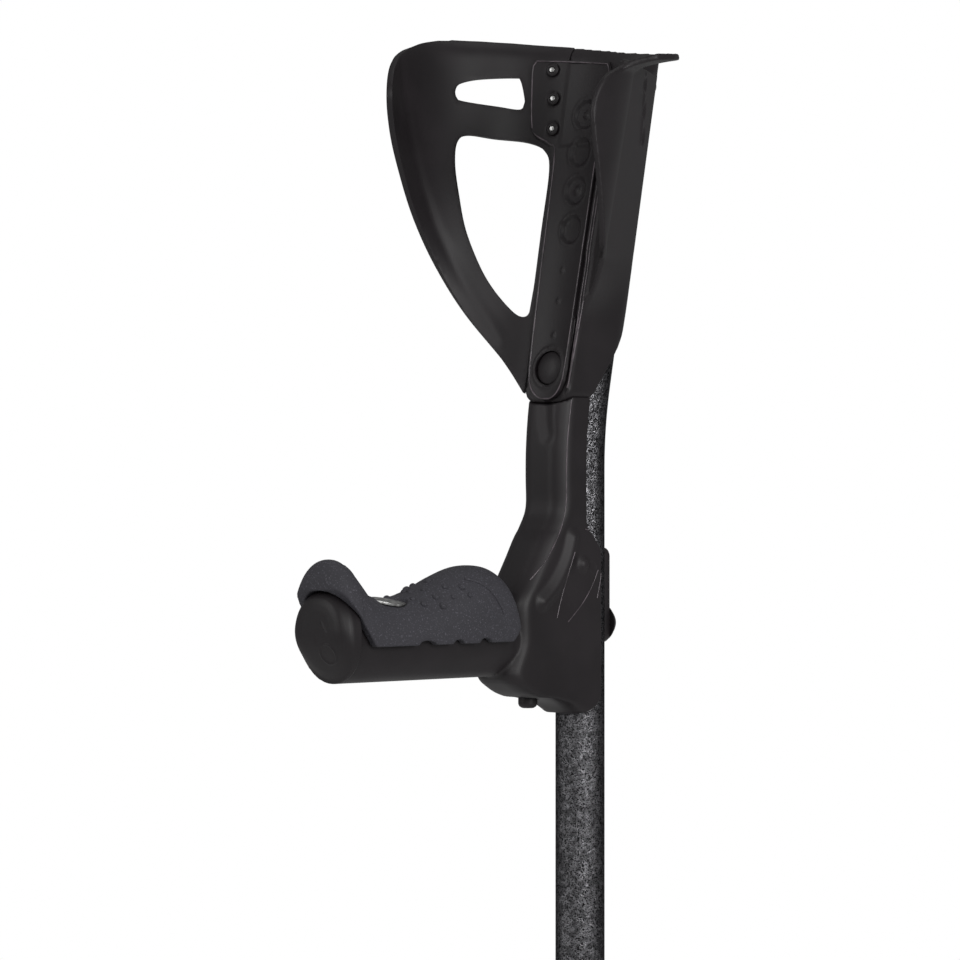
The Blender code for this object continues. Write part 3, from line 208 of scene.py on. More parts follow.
PAD_STATIONS = [(GRIP_BACK, 15.5 * MM, 853.0 * MM), (56.0 * MM, 16.6 * MM, 860.0 * MM),
                (60.0 * MM, 17.2 * MM, 863.8 * MM), (67.0 * MM, 17.9 * MM, 866.4 * MM),
                (78.0 * MM, 18.4 * MM, 866.3 * MM), (90.0 * MM, 18.6 * MM, 862.6 * MM),
                (102.0 * MM, 18.4 * MM, 857.6 * MM), (114.0 * MM, 18.0 * MM, 854.2 * MM),
                (128.0 * MM, 17.7 * MM, 852.8 * MM), (138.0 * MM, 17.6 * MM, 856.4 * MM),
                (145.0 * MM, 17.5 * MM, 863.8 * MM), (GRIP_SPLIT - GAP, 17.5 * MM, 869.2 * MM)]
HORN_STATIONS = [(GRIP_SPLIT, 17.6 * MM, 868.6 * MM), (153.0 * MM, 17.3 * MM, 870.4 * MM),
                 (157.0 * MM, 16.8 * MM, 868.8 * MM), (GRIP_END - 1.2 * MM, 15.6 * MM, 862.2 * MM)]
CAP_TOP = 857.0 * MM
CAP_HALF_W = 17.4 * MM
CAP_LEAN = 0.5
CAP_NARROW = 0.3
PAD_LOW = 833.5 * MM
CORE_ROOT = (STEM_FRONT, 14.0 * MM, 846.0 * MM)
NOTCHES = [(77.0 * MM, 3.8 * MM, 2.2 * MM), (93.5 * MM, 3.4 * MM, 2.0 * MM),
           (112.0 * MM, 5.2 * MM, 2.0 * MM)]
HORN_START = 141.5 * MM
HORN_RISE = 1.35
OVAL_POWER = 2.2
OVAL_POINTS = 96

# Small parts of the handle
PEG_R = 5.0 * MM
PEG_L = 10.0 * MM
PEG_Z = 838.0 * MM
GRIP_SCREW_Y = 33.5 * MM
GRIP_SCREW_HEAD_D = 8.5 * MM
GRIP_SCREW_HEAD_T = 5.0 * MM
GRIP_SCREW_D = 3.5 * MM
GRIP_SCREW_L = 12.0 * MM
GRIP_SCREW_Z = 808.0 * MM
BOLT_HEAD_D = 11.0 * MM
BOLT_HEAD_T = 3.0 * MM

# Cuff
CUFF_BOTTOM = 938.0 * MM
CUFF_TOP = 1103.0 * MM
CUFF_R_UP = 42.0 * MM
CUFF_GROWTH = 0.0766
CUFF_SETBACK = 23.0 * MM
LIP_H = 9.0 * MM
LIP_NEAR = 21.0 * MM
LIP_FAR = 3.5 * MM
LIP_ROWS = [0.35, 0.8, 1.3, 1.9, 2.6, 3.4, 4.4, 5.6, 7.0]
LIP_ROWS_H = 8.0 * MM
LIP_STEP = 1.6
LIP_BORDER = 0.25 * MM
LIP_RISE = (14.0, 46.0)
LIP_DROP = (50.0, 92.0)
LIP_DROP_SHARE = 0.7
RIM_SNAP = 0.4 * MM
BORDER_SHARE = 0.55
HEM_FLAT = 10.0 * MM
HEM_SLOPE = 1.25
HEM_ROUND_W = 7.5 * MM
HEM_ROUND_H = 4.6 * MM
HEM_STEPS = 12
HEM_FRONT = -45.0 * MM
SOCKET_WALL = 2.1 * MM
STUD_D = 3.0 * MM
STUD_HEAD_D = 6.0 * MM
STUD_HEAD_T = 0.9 * MM
POCKET_D = 13.0 * MM
CUFF_BUTTON_Z = CUFF_BOTTOM + 11.0 * MM
CUFF_BUTTON_D = 15.0 * MM
CUFF_BUTTON_TRAVEL = 3.0 * MM
BUTTON_FLOOR_T = 2.2 * MM
COIL_ROOM = 2.3 * MM
CUFF_PEG_D = 6.0 * MM
CUFF_SCREW_Z = CUFF_BOTTOM + 147.5 * MM
CUFF_SCREW_HEAD_D = 9.0 * MM
CUFF_SCREW_HEAD_T = 2.8 * MM
CUFF_SCREW_D = 5.0 * MM
CUFF_SCREW_TIP = 3.0 * MM
UNROLL = 0.9 * MM
COLUMN_SWELL = 0.7 * MM
SHELL_GRAIN = 1.09


def cuff_height(drawn):
    """The height of a point drawn in millimetres above the cuff's lower end."""
    return CUFF_BOTTOM + drawn * MM


def on_cuff(points):
    return [(angle, cuff_height(drawn)) for angle, drawn in points]


RIM_FALL = [(-60.0, 0.0), (-45.0, 0.7 * MM), (-20.0, 3.0 * MM), (0.0, 5.4 * MM),
            (20.0, 8.3 * MM), (40.0, 11.0 * MM), (60.0, 13.3 * MM), (92.0, 15.7 * MM)]
SHOULDER_H = 1.3 * MM
SHOULDER_NEAR = (17.2, 18.4)
SHOULDER_FAR = (25.0, 29.0)
SHOULDER_FOOT = (cuff_height(6.0), cuff_height(12.0))
SHOULDER_HEAD = (cuff_height(98.0), cuff_height(112.0))
COLUMN_TOP = cuff_height(155.5)
SWELL_LOW = cuff_height(14.0)
SWELL_HIGH = cuff_height(47.0)
WING_FOOT = 46.0
WING_LOW = cuff_height(66.0)
WING_END = cuff_height(34.0)
NEAR_EDGE = on_cuff([(WING_FOOT, 64.0), (57.0, 68.5), (67.0, 79.5), (79.0, 99.7), (88.5, 119.0),
                     (90.0, 129.0), (85.0, 139.5), (72.0, 146.0)])
FAR_EDGE = on_cuff([(-19.6, 4.8), (-34.6, 19.0), (-58.9, 40.4), (-78.3, 61.8),
                    (-94.7, 82.9), (-109.0, 103.7), (-123.0, 122.0), (-131.0, 135.0),
                    (-125.5, 146.4), (-112.5, 155.4), (-97.0, 161.2), (-82.0, 164.2)])
LARGE_WINDOW = on_cuff([(-20.4, 52.0), (-19.8, 78.0), (-19.2, 105.0), (-23.0, 114.0),
                        (-33.0, 118.4), (-50.0, 120.2), (-64.0, 121.6), (-70.0, 118.0),
                        (-70.6, 108.0), (-67.5, 94.5), (-62.3, 78.3), (-52.9, 62.0),
                        (-43.8, 51.2), (-33.0, 42.3), (-26.0, 39.0), (-21.4, 41.0)])
SMALL_WINDOW = on_cuff([(-36.3, 137.0), (-39.5, 146.8), (-43.0, 148.3), (-60.0, 147.4),
                        (-70.0, 144.8), (-72.6, 141.5), (-71.5, 138.2), (-68.0, 136.9),
                        (-50.0, 134.8), (-40.0, 133.4), (-37.0, 134.2)])
FLANGE_LEFT = -34.0
FLANGE_BOTTOM = cuff_height(121.5)
STRIP_LEFT = on_cuff([(-3.2, 1.1), (-8.3, 2.4), (-12.6, 5.1), (-15.3, 8.9), (-16.5, 14.0),
                      (-17.0, 39.0), (-16.6, 108.0), (-19.5, 116.0), (-28.0, 120.2),
                      (-31.6, 125.0), (-33.6, 142.0), (-34.0, 153.0), (-31.5, 156.2)])
STRIP_RIGHT = on_cuff([(13.0, 152.5), (16.2, 148.5), (16.6, 108.0), (17.0, 39.0), (16.5, 14.0),
                       (15.3, 8.9), (12.6, 5.1), (8.3, 2.4), (3.2, 1.1)])
STUDS = on_cuff([(-18.8, 123.6), (-20.4, 137.4), (-22.6, 150.6)])
POCKET_HEIGHTS = [cuff_height(h) for h in (72.8, 90.5, 107.7, 125.0)]
STRIP_DOTS = [cuff_height(h) for h in (59.0, 45.1, 29.9)]

# The photograph's camera: level, at 45 degrees to the grip
VIEW_ANGLE = math.radians(45.0)
VIEW_DISTANCE = 1.8
VIEW_HEIGHT = 0.9038
VIEW_SHIFT = 44.8 * MM
VIEW_LENS = 150.7
VIEW_SENSOR = 36.0
VIEW_PIXELS = 960
RIGHT = Vector((math.cos(VIEW_ANGLE), math.sin(VIEW_ANGLE), 0.0))
BACKWARD = Vector((math.sin(VIEW_ANGLE), -math.cos(VIEW_ANGLE), 0.0))
EYE = Vector((0.0, 0.0, VIEW_HEIGHT)) - RIGHT * VIEW_SHIFT + BACKWARD * VIEW_DISTANCE


def derived():
    """Values that follow from the sizes."""
    tube_r = size("tube_d") / 2
    leg_r = size("leg_d") / 2
    tilt = size("tilt")
    half = size("bend_r") * math.tan(tilt / 2)
    leg_foot = FERRULE_SOLE + DISC_T + 2 * GAP
    return {
        "tube_r": tube_r, "bore_r": tube_r - size("tube_wall"), "leg_r": leg_r,
        "leg_bore_r": leg_r - LEG_WALL, "tilt": tilt, "bend_r": size("bend_r"),
        "bend_low": BEND_Z - half, "bend_high": BEND_Z + half * math.cos(tilt),
        "leg_foot": leg_foot, "leg_top": leg_foot + LEG_LENGTH,
        "button_z": leg_foot + LEG_LENGTH - BUTTON_BELOW_TOP,
        "front": Vector((0.0, -math.cos(tilt), math.sin(tilt))),
        "up": Vector((0.0, math.sin(tilt), math.cos(tilt))),
        "button_floor": tube_r + BUTTON_FLOOR_T,
    }


# What follows from the sizes, worked out when an operator runs
D = {}


# Mesh helpers

def finish(bm, name, sharp=SHARP_ANGLE):
    bmesh.ops.remove_doubles(bm, verts=bm.verts, dist=1e-6)
    bmesh.ops.recalc_face_normals(bm, faces=bm.faces)
    mesh = bpy.data.meshes.new(name)
    bm.to_mesh(mesh)
    bm.free()
    thing = bpy.data.objects.new(name, mesh)
    bpy.context.scene.collection.objects.link(thing)
    return smooth_shaded(thing, sharp)


def loft(rings, closed=False):
    """A solid through rings of equal length, with its ends capped unless it closes on itself."""
    bm = bmesh.new()
    rows = [[bm.verts.new(p) for p in ring] for ring in rings]
    pairs = list(zip(rows, rows[1:]))
    if closed:
        pairs.append((rows[-1], rows[0]))
    count = len(rows[0])
    for low, high in pairs:
        for i in range(count):
            j = (i + 1) % count
            bm.faces.new((low[i], low[j], high[j], high[i]))
    if not closed:
        bm.faces.new(list(reversed(rows[0])))
        bm.faces.new(rows[-1])
    return bm


def turned(profile, segments=64, matrix=Matrix.Identity(4)):
    """A closed (radius, height) profile turned about Z; a radius of 0 lies on the axis."""
    bm = bmesh.new()
    columns = []
    for k in range(segments):
        a = 2 * math.pi * k / segments
        columns.append([bm.verts.new((r * math.cos(a), r * math.sin(a), z)) for r, z in profile])
    count = len(profile)
    for k in range(segments):
        here, there = columns[k], columns[(k + 1) % segments]
        for i in range(count):
            j = (i + 1) % count
            if profile[i][0] < 1e-9 and profile[j][0] < 1e-9:
                continue
            bm.faces.new((here[i], there[i], there[j], here[j]))
    bmesh.ops.remove_doubles(bm, verts=bm.verts, dist=1e-7)
    bmesh.ops.transform(bm, matrix=matrix, verts=bm.verts)
    return bm


def eased(profile, radius, steps=3):
    """A profile with its corners rounded, apart from those on the axis."""
    points = []
    count = len(profile)
    for i, (r, z) in enumerate(profile):
        here = Vector((r, z))
        back = Vector(profile[i - 1]) - here
        ahead = Vector(profile[(i + 1) % count]) - here
        if r < 1e-9 or min(back.length, ahead.length) < 1e-6:
            points.append((r, z))
            continue
        reach = min(radius, back.length * 0.45, ahead.length * 0.45)
        a = here + back.normalized() * reach
        b = here + ahead.normalized() * reach
        for k in range(steps + 1):
            t = k / steps
            p = a * (1 - t) ** 2 + here * 2 * t * (1 - t) + b * t * t
            points.append((p.x, p.y))
    return points


def pipe_profile(outer, inner, low, high):
    return [(outer, high), (outer, low), (inner, low), (inner, high)]


def rod_profile(radius, low, high):
    return [(0.0, high), (radius, high), (radius, low), (0.0, low)]


def facing(origin, direction):
    """A matrix that turns +Z to a direction and moves it to an origin."""
    turn = Vector(direction).to_track_quat("Z", "Y").to_matrix().to_4x4()
    return Matrix.Translation(origin) @ turn @ Matrix.Rotation(FACET_TURN, 4, "Z")


def evaluated_mesh(thing):
    graph = bpy.context.evaluated_depsgraph_get()
    graph.update()
    return bpy.data.meshes.new_from_object(thing.evaluated_get(graph))


def settled(thing, merge=0.0):
    """Turn an object's modifiers into its mesh, and delete the helpers that they used."""
    others = [m.object for m in thing.modifiers if m.type == "BOOLEAN"]
    mesh = evaluated_mesh(thing)
    if merge:
        bm = bmesh.new()
        bm.from_mesh(mesh)
        bmesh.ops.remove_doubles(bm, verts=bm.verts, dist=merge)
        bm.to_mesh(mesh)
        bm.free()
    old = thing.data
    thing.modifiers.clear()
    thing.data = mesh
    mesh.name = thing.name
    bpy.data.meshes.remove(old)
    for other in others:
        bpy.data.objects.remove(other, do_unlink=True)
    return smooth_shaded(thing, SHARP_ANGLE)


def combined(thing, others, kind):
    for k, bm in enumerate(others):
        step = thing.modifiers.new(f"{kind.title()} {k}", "BOOLEAN")
        step.operation = kind
        step.object = finish(bm, f"{thing.name}_{kind.lower()}_{k}")
        step.solver = "EXACT"
    return settled(thing, 4e-6)


def cut(thing, *others):
    return combined(thing, others, "DIFFERENCE")


def join(thing, *others):
    return combined(thing, others, "UNION")


def rounded_edges(thing, width, segments=2, angle=40.0):
    """Round a mesh's hard edges."""
    step = thing.modifiers.new("Rounded edges", "BEVEL")
    step.width = width
    step.segments = segments
    step.limit_method = "ANGLE"
    step.angle_limit = math.radians(angle)
    step.use_clamp_overlap = True
    settled(thing)
    return thing


PULL_IN = 0.5
PUSH_OUT = -0.47


def moulded(thing, voxel, rounds):
    """Turn a solid into an even mesh with the soft corners of a moulding."""
    step = thing.modifiers.new("Grain", "REMESH")
    step.mode = "VOXEL"
    step.voxel_size = voxel
    step.use_smooth_shade = True
    settled(thing)
    mesh = thing.data
    verts = points_of(mesh)
    edges = np.zeros(len(mesh.edges) * 2, int)
    mesh.edges.foreach_get("vertices", edges)
    edges = edges.reshape(-1, 2)
    near = np.zeros(len(verts))
    np.add.at(near, edges.ravel(), 1)
    for k in range(rounds):
        total = np.zeros_like(verts)
        np.add.at(total, edges[:, 0], verts[edges[:, 1]])
        np.add.at(total, edges[:, 1], verts[edges[:, 0]])
        verts += (total / near[:, None] - verts) * (PUSH_OUT if k % 2 else PULL_IN)
    place_points(mesh, verts)
    return thing


def points_of(mesh):
    verts = np.zeros(len(mesh.vertices) * 3)
    mesh.vertices.foreach_get("co", verts)
    return verts.reshape(-1, 3)


def normals_of(mesh):
    normals = np.zeros(len(mesh.vertices) * 3)
    mesh.vertex_normals.foreach_get("vector", normals)
    return normals.reshape(-1, 3)


def place_points(mesh, verts):
    mesh.vertices.foreach_set("co", verts.ravel())
    mesh.update()


def smooth_shaded(thing, sharp=60.0):
    thing.data.shade_smooth()
    thing.data.set_sharp_from_angle(angle=math.radians(sharp))
    return thing


def ramp(value, low, high):
    t = max(0.0, min(1.0, (value - low) / (high - low)))
    return t * t * (3 - 2 * t)


def soft(values, low, high):
    """The same ease as ramp, over an array."""
    t = np.clip((values - low) / (high - low), 0.0, 1.0)
    return t * t * (3 - 2 * t)


def curve_through(points, steps=4):
    """A smooth run through points, its ends included."""
    padded = [points[0], *points, points[-1]]
    run = []
    for p0, p1, p2, p3 in zip(padded, padded[1:], padded[2:], padded[3:]):
        for k in range(steps):
            t = k / steps
            run.append(tuple(0.5 * (2 * b + (c - a) * t + (2 * a - 5 * b + 4 * c - d) * t * t
                                    + (3 * b - a - 3 * c + d) * t ** 3)
                             for a, b, c, d in zip(p0, p1, p2, p3)))
    run.append(tuple(points[-1]))
    return run


def closed_curve(points, steps=3):
    run = curve_through([points[-1], *points, points[0], points[1]], steps)
    return run[steps:-2 * steps]


# Features drawn as they are seen from the photograph's camera

def sight(tree, x, y):
    """The place on a piece that the camera sees at a pixel, and its normal, or None for both."""
    focal = VIEW_LENS / VIEW_SENSOR * VIEW_PIXELS
    half = VIEW_PIXELS / 2
    ray = -BACKWARD + RIGHT * ((x - half) / focal) + Vector((0, 0, 1)) * ((half - y) / focal)
    return tree.ray_cast(EYE, ray.normalized())[:2]


def seen(tree, x, y):
    return sight(tree, x, y)[0]


def seen_line(tree, pixels, steps=4):
    line = [seen(tree, x, y) for x, y in curve_through(pixels, steps)]
    return [p for p in line if p is not None]


def tree_of(thing):
    bm = bmesh.new()
    bm.from_mesh(thing.data)
    tree = BVHTree.FromBMesh(bm)
    bm.free()
    return tree


def distance_to_line(verts, line):
    """Each point's distance from a polyline."""
    best = np.full(len(verts), 1e9)
    for a, b in zip(line, line[1:]):
        a = np.array(a)
        run = np.array(b) - a
        long = float(run @ run)
        if long < 1e-12:
            continue
        t = np.clip((verts - a) @ run / long, 0.0, 1.0)
        gap = verts - a - t[:, None] * run
        best = np.minimum(best, np.sqrt((gap * gap).sum(1)))
    return best


def raised(thing, jobs):
    """Push points along their normals: each job gives a height for every point."""
    mesh = thing.data
    verts = points_of(mesh)
    normals = normals_of(mesh)
    total = np.zeros(len(verts))
    for job in jobs:
        total += job(verts, normals)
    place_points(mesh, verts + normals * total[:, None])
    return thing


def ridge(line, width, height):
    """A rounded rib, or a groove where the height is negative, along a line."""
    def heights(verts, normals):
        away = distance_to_line(verts, line)
        return height * (1.0 - soft(away, 0.0, width))
    return heights


def dome(centre, radius, height, flat=0.0):
    """A bump round a point, flat over part of its radius."""
    def heights(verts, normals):
        away = np.sqrt(((verts - np.array(centre)) ** 2).sum(1))
        return height * (1.0 - soft(away, radius * flat, radius))
    return heights


def ring_mark(centre, radius, width, height):
    """A ring round a point."""
    def heights(verts, normals):
        away = np.abs(np.sqrt(((verts - np.array(centre)) ** 2).sum(1)) - radius)
        return height * (1.0 - soft(away, width * 0.3, width))
    return heights


# The tube's line

def tilted_y(z):
    return max(0.0, z - BEND_Z) * math.tan(D["tilt"])


def axis_y(z):
    if z <= D["bend_low"]:
        return 0.0
    if z >= D["bend_high"]:
        return tilted_y(z)
    rise = z - D["bend_low"]
    return D["bend_r"] - math.sqrt(D["bend_r"] ** 2 - rise ** 2)


def axis_slope(z):
    if z <= D["bend_low"]:
        return 0.0
    if z >= D["bend_high"]:
        return D["tilt"]
    return math.asin((z - D["bend_low"]) / D["bend_r"])


def on_tilted_axis(z, front=0.0):
    return Vector((0.0, tilted_y(z), z)) + D["front"] * front


def behind_tube(z):
    """A place on the tube's axis at a height, with +Z turned to the back."""
    return facing((0, 0, z), (0, 1, 0))


def before_cuff(z):
    """A place on the tilted axis at a height, with +Z turned square to the front."""
    return facing(on_tilted_axis(z), D["front"])


def behind_cuff(z):
    return facing(on_tilted_axis(z), -D["front"])


def tube_rings(radius, low, high, drop=0.0):
    """Rings along the bent tube; a drop eases both of its ends in."""
    bends = 12
    inside = [D["bend_low"] + (D["bend_high"] - D["bend_low"]) * k / bends
              for k in range(bends + 1)]
    stations = [(low, 0.0)] + [(z, 0.0) for z in inside if low < z < high] + [(high, 0.0)]
    if drop:
        stations[0:1] = [(low, drop), (low + drop * 0.3, drop * 0.3), (low + drop, 0.0)]
        stations[-1:] = [(high - drop, 0.0), (high - drop * 0.3, drop * 0.3), (high, drop)]
    rings = []
    count = size("tube_segments")
    for z, inset in stations:
        slope = axis_slope(z)
        up = Vector((0.0, math.cos(slope), -math.sin(slope)))
        middle = Vector((0.0, axis_y(z), z))
        r = radius - inset
        rings.append([middle + Vector((r * math.cos(a), 0, 0)) + up * r * math.sin(a)
                      for a in (2 * math.pi * k / count for k in range(count))])
    return rings


def tube_solid(radius, low, high):
    return loft(tube_rings(radius, low, high))


# Geometry Nodes: pieces that repeat

def node_tree(name, inputs):
    """A geometry tree with named inputs; gives the tree and its first and last nodes."""
    tree = bpy.data.node_groups.new(name, "GeometryNodeTree")
    tree.interface.new_socket("Geometry", in_out="INPUT", socket_type="NodeSocketGeometry")
    for label, kind in inputs:
        tree.interface.new_socket(label, in_out="INPUT", socket_type=kind)
    tree.interface.new_socket("Geometry", in_out="OUTPUT", socket_type="NodeSocketGeometry")
    return tree, tree.nodes.new("NodeGroupInput"), tree.nodes.new("NodeGroupOutput")


def circle(tree, radius, facets):
    ring = tree.nodes.new("GeometryNodeCurvePrimitiveCircle")
    ring.inputs["Resolution"].default_value = facets
    tree.links.new(radius, ring.inputs["Radius"])
    return ring.outputs["Curve"]


def swept(tree, path, wire):
    """A curve's wire, as a mesh with closed ends."""
    made = tree.nodes.new("GeometryNodeCurveToMesh")
    made.inputs["Fill Caps"].default_value = True
    tree.links.new(path, made.inputs["Curve"])
    tree.links.new(wire, made.inputs["Profile Curve"])
    return made.outputs["Mesh"]


def dressed(tree, given, result, geometry):
    """The end of a tree: its instances made real and given the material."""
    real = tree.nodes.new("GeometryNodeRealizeInstances")
    tree.links.new(geometry, real.inputs["Geometry"])
    coat = tree.nodes.new("GeometryNodeSetMaterial")
    tree.links.new(real.outputs["Geometry"], coat.inputs["Geometry"])
    tree.links.new(given.outputs["Material"], coat.inputs["Material"])
    tree.links.new(coat.outputs["Geometry"], result.inputs["Geometry"])
    return tree


def rings_tree():
    """Round wires of one size at points spaced evenly along a line."""
    tree, given, result = node_tree("Rings along a line", [
        ("Count", "NodeSocketInt"), ("Start", "NodeSocketVector"), ("Step", "NodeSocketVector"),
        ("Ring radius", "NodeSocketFloat"), ("Wire radius", "NodeSocketFloat"),
        ("Turn", "NodeSocketVector"), ("Material", "NodeSocketMaterial")])
    link = tree.links.new
    line = tree.nodes.new("GeometryNodeMeshLine")
    link(given.outputs["Count"], line.inputs["Count"])
    link(given.outputs["Start"], line.inputs["Start Location"])
    link(given.outputs["Step"], line.inputs["Offset"])
    ring = swept(tree, circle(tree, given.outputs["Ring radius"], 48),
                 circle(tree, given.outputs["Wire radius"], 10))
    placed = tree.nodes.new("GeometryNodeInstanceOnPoints")
    link(line.outputs["Mesh"], placed.inputs["Points"])
    link(ring, placed.inputs["Instance"])
    link(given.outputs["Turn"], placed.inputs["Rotation"])
    return dressed(tree, given, result, placed.outputs["Instances"])


def nubs_tree():
    """Low bumps on points, flattened along each point's normal."""
    tree, given, result = node_tree("Nubs on points", [
        ("Radius", "NodeSocketFloat"), ("Flatness", "NodeSocketFloat"),
        ("Spread", "NodeSocketFloat"), ("Seed", "NodeSocketInt"),
        ("Material", "NodeSocketMaterial")])
    link = tree.links.new
    bump = tree.nodes.new("GeometryNodeMeshUVSphere")
    bump.inputs["Segments"].default_value = 16
    bump.inputs["Rings"].default_value = 10
    link(given.outputs["Radius"], bump.inputs["Radius"])
    flat = tree.nodes.new("GeometryNodeTransform")
    squash = tree.nodes.new("ShaderNodeCombineXYZ")
    squash.inputs["X"].default_value = 1.0
    squash.inputs["Y"].default_value = 1.0
    link(given.outputs["Flatness"], squash.inputs["Z"])
    link(bump.outputs["Mesh"], flat.inputs["Geometry"])
    link(squash.outputs["Vector"], flat.inputs["Scale"])
    normal = tree.nodes.new("GeometryNodeInputNamedAttribute")
    normal.data_type = "FLOAT_VECTOR"
    normal.inputs["Name"].default_value = "facing"
    turn = tree.nodes.new("FunctionNodeAlignRotationToVector")
    turn.axis = "Z"
    link(normal.outputs["Attribute"], turn.inputs["Vector"])
    chance = tree.nodes.new("FunctionNodeRandomValue")
    chance.data_type = "FLOAT"
    link(given.outputs["Seed"], chance.inputs["Seed"])
    for operation, bound in (("SUBTRACT", 2), ("ADD", 3)):
        limit = tree.nodes.new("ShaderNodeMath")
        limit.operation = operation
        limit.inputs[0].default_value = 1.0
        link(given.outputs["Spread"], limit.inputs[1])
        link(limit.outputs["Value"], chance.inputs[bound])
    placed = tree.nodes.new("GeometryNodeInstanceOnPoints")
    link(given.outputs["Geometry"], placed.inputs["Points"])
    link(flat.outputs["Geometry"], placed.inputs["Instance"])
    link(turn.outputs["Rotation"], placed.inputs["Rotation"])
    link(chance.outputs[1], placed.inputs["Scale"])
    return dressed(tree, given, result, placed.outputs["Instances"])


def beads_tree():
    """A round bead along every path of edges."""
    tree, given, result = node_tree("Beads along paths", [
        ("Radius", "NodeSocketFloat"), ("Material", "NodeSocketMaterial")])
    path = tree.nodes.new("GeometryNodeMeshToCurve")
    tree.links.new(given.outputs["Geometry"], path.inputs["Mesh"])
    bead = swept(tree, path.outputs["Curve"], circle(tree, given.outputs["Radius"], 8))
    return dressed(tree, given, result, bead)


def beads(name, lines, radius, finish_name):
    """Fine beads along lines of points; a line that ends where it starts is a closed one."""
    points = []
    edges = []
    for line in lines:
        closed = (line[0] - line[-1]).length < 1e-6
        run = line[:-1] if closed else line
        start = len(points)
        points += run
        edges += [(start + k, start + k + 1) for k in range(len(run) - 1)]
        if closed:
            edges.append((start + len(run) - 1, start))
    return grown(name, beads_tree(), {"Radius": radius, "Material": finish_named(finish_name)},
                 points, edges=edges)


def grown(name, tree, values, points=(), facings=(), edges=()):
    """A plain mesh grown by a geometry tree from points, and edges between them."""
    mesh = bpy.data.meshes.new(name)
    mesh.from_pydata([tuple(p) for p in points], list(edges), [])
    if facings:
        store = mesh.attributes.new("facing", "FLOAT_VECTOR", "POINT")
        store.data.foreach_set("vector", np.array([tuple(f) for f in facings]).ravel())
    thing = bpy.data.objects.new(name, mesh)
    bpy.context.scene.collection.objects.link(thing)
    step = thing.modifiers.new("Repeat", "NODES")
    step.node_group = tree
    for item in tree.interface.items_tree:
        if item.in_out == "INPUT" and item.name in values:
            step[item.identifier] = values[item.name]
    settled(thing)
    return smooth_shaded(thing)


# Shader maths

def wired(tree, socket, value):
    """Link a socket to a Shade, or set it to a plain value."""
    if isinstance(value, Shade):
        tree.links.new(value.socket, socket)
    else:
        socket.default_value = value


class Shade:
    """A socket of a material's tree, with arithmetic."""

    def __init__(self, tree, socket):
        self.tree = tree
        self.socket = socket

    @classmethod
    def node(cls, tree, kind, out=0, settings=None, **values):
        """Any node: its settings first, then its sockets by name, or by number as i0, i1."""
        made = tree.nodes.new(kind)
        for key, value in (settings or {}).items():
            setattr(made, key, value)
        for key, value in values.items():
            numbered = key[0] == "i" and key[1:].isdigit()
            wired(tree, made.inputs[int(key[1:]) if numbered else key.replace("_", " ")], value)
        return cls(tree, made.outputs[out])

    def maths(self, operation, *others):
        made = self.tree.nodes.new("ShaderNodeMath")
        made.operation = operation
        for socket, value in zip(made.inputs, others):
            wired(self.tree, socket, value)
        return Shade(self.tree, made.outputs[0])

    def __add__(self, other):
        return self.maths("ADD", self, other)

    def __radd__(self, other):
        return self.maths("ADD", other, self)

    def __sub__(self, other):
        return self.maths("SUBTRACT", self, other)

    def __rsub__(self, other):
        return self.maths("SUBTRACT", other, self)

    def __mul__(self, other):
        return self.maths("MULTIPLY", self, other)

    def __rmul__(self, other):
        return self.maths("MULTIPLY", other, self)

    def smooth(self, low, high):
        """0 below one value, 1 above the other, and eased between."""
        return Shade.node(self.tree, "ShaderNodeMapRange", settings={"interpolation_type": "SMOOTHSTEP"},
                          Value=self, From_Min=low, From_Max=high)


def tinted(tree, share, dark, light):
    """A colour between two, by a share."""
    return Shade.node(tree, "ShaderNodeMix", out=2, settings={"data_type": "RGBA"},
                      i0=share, i6=dark, i7=light)


def scaled(tone, factor):
    return (*(c * factor for c in tone[:3]), 1.0)


class Finish:
    """A material being made: its tree, its shader and its coordinates."""

    def __init__(self, name):
        self.material = bpy.data.materials.new(name)
        self.material.use_nodes = True
        self.tree = self.material.node_tree
        self.shader = self.tree.nodes["Principled BSDF"]
        coordinates = self.tree.nodes.new("ShaderNodeTexCoord")
        self.place = Shade(self.tree, coordinates.outputs["Object"])

    def noise(self, scale, detail=2.0, roughness=0.5, place=None, seed=0.0):
        return Shade.node(self.tree, "ShaderNodeTexNoise", settings={"noise_dimensions": "4D"},
                          Vector=place or self.place, W=seed, Scale=scale, Detail=detail,
                          Roughness=roughness)

    def cells(self, scale):
        return Shade.node(self.tree, "ShaderNodeTexVoronoi", settings={"feature": "SMOOTH_F1"},
                          Vector=self.place, Scale=scale)

    def stretched(self, x, y, z):
        return Shade.node(self.tree, "ShaderNodeMapping", Vector=self.place, Scale=(x, y, z))

    def bump(self, height, strength, distance):
        made = Shade.node(self.tree, "ShaderNodeBump", Strength=strength, Distance=distance,
                          Height=height)
        self.tree.links.new(made.socket, self.shader.inputs["Normal"])

    def feed(self, **values):
        for key, value in values.items():
            wired(self.tree, self.shader.inputs[key.replace("_", " ")], value)
        return self.material


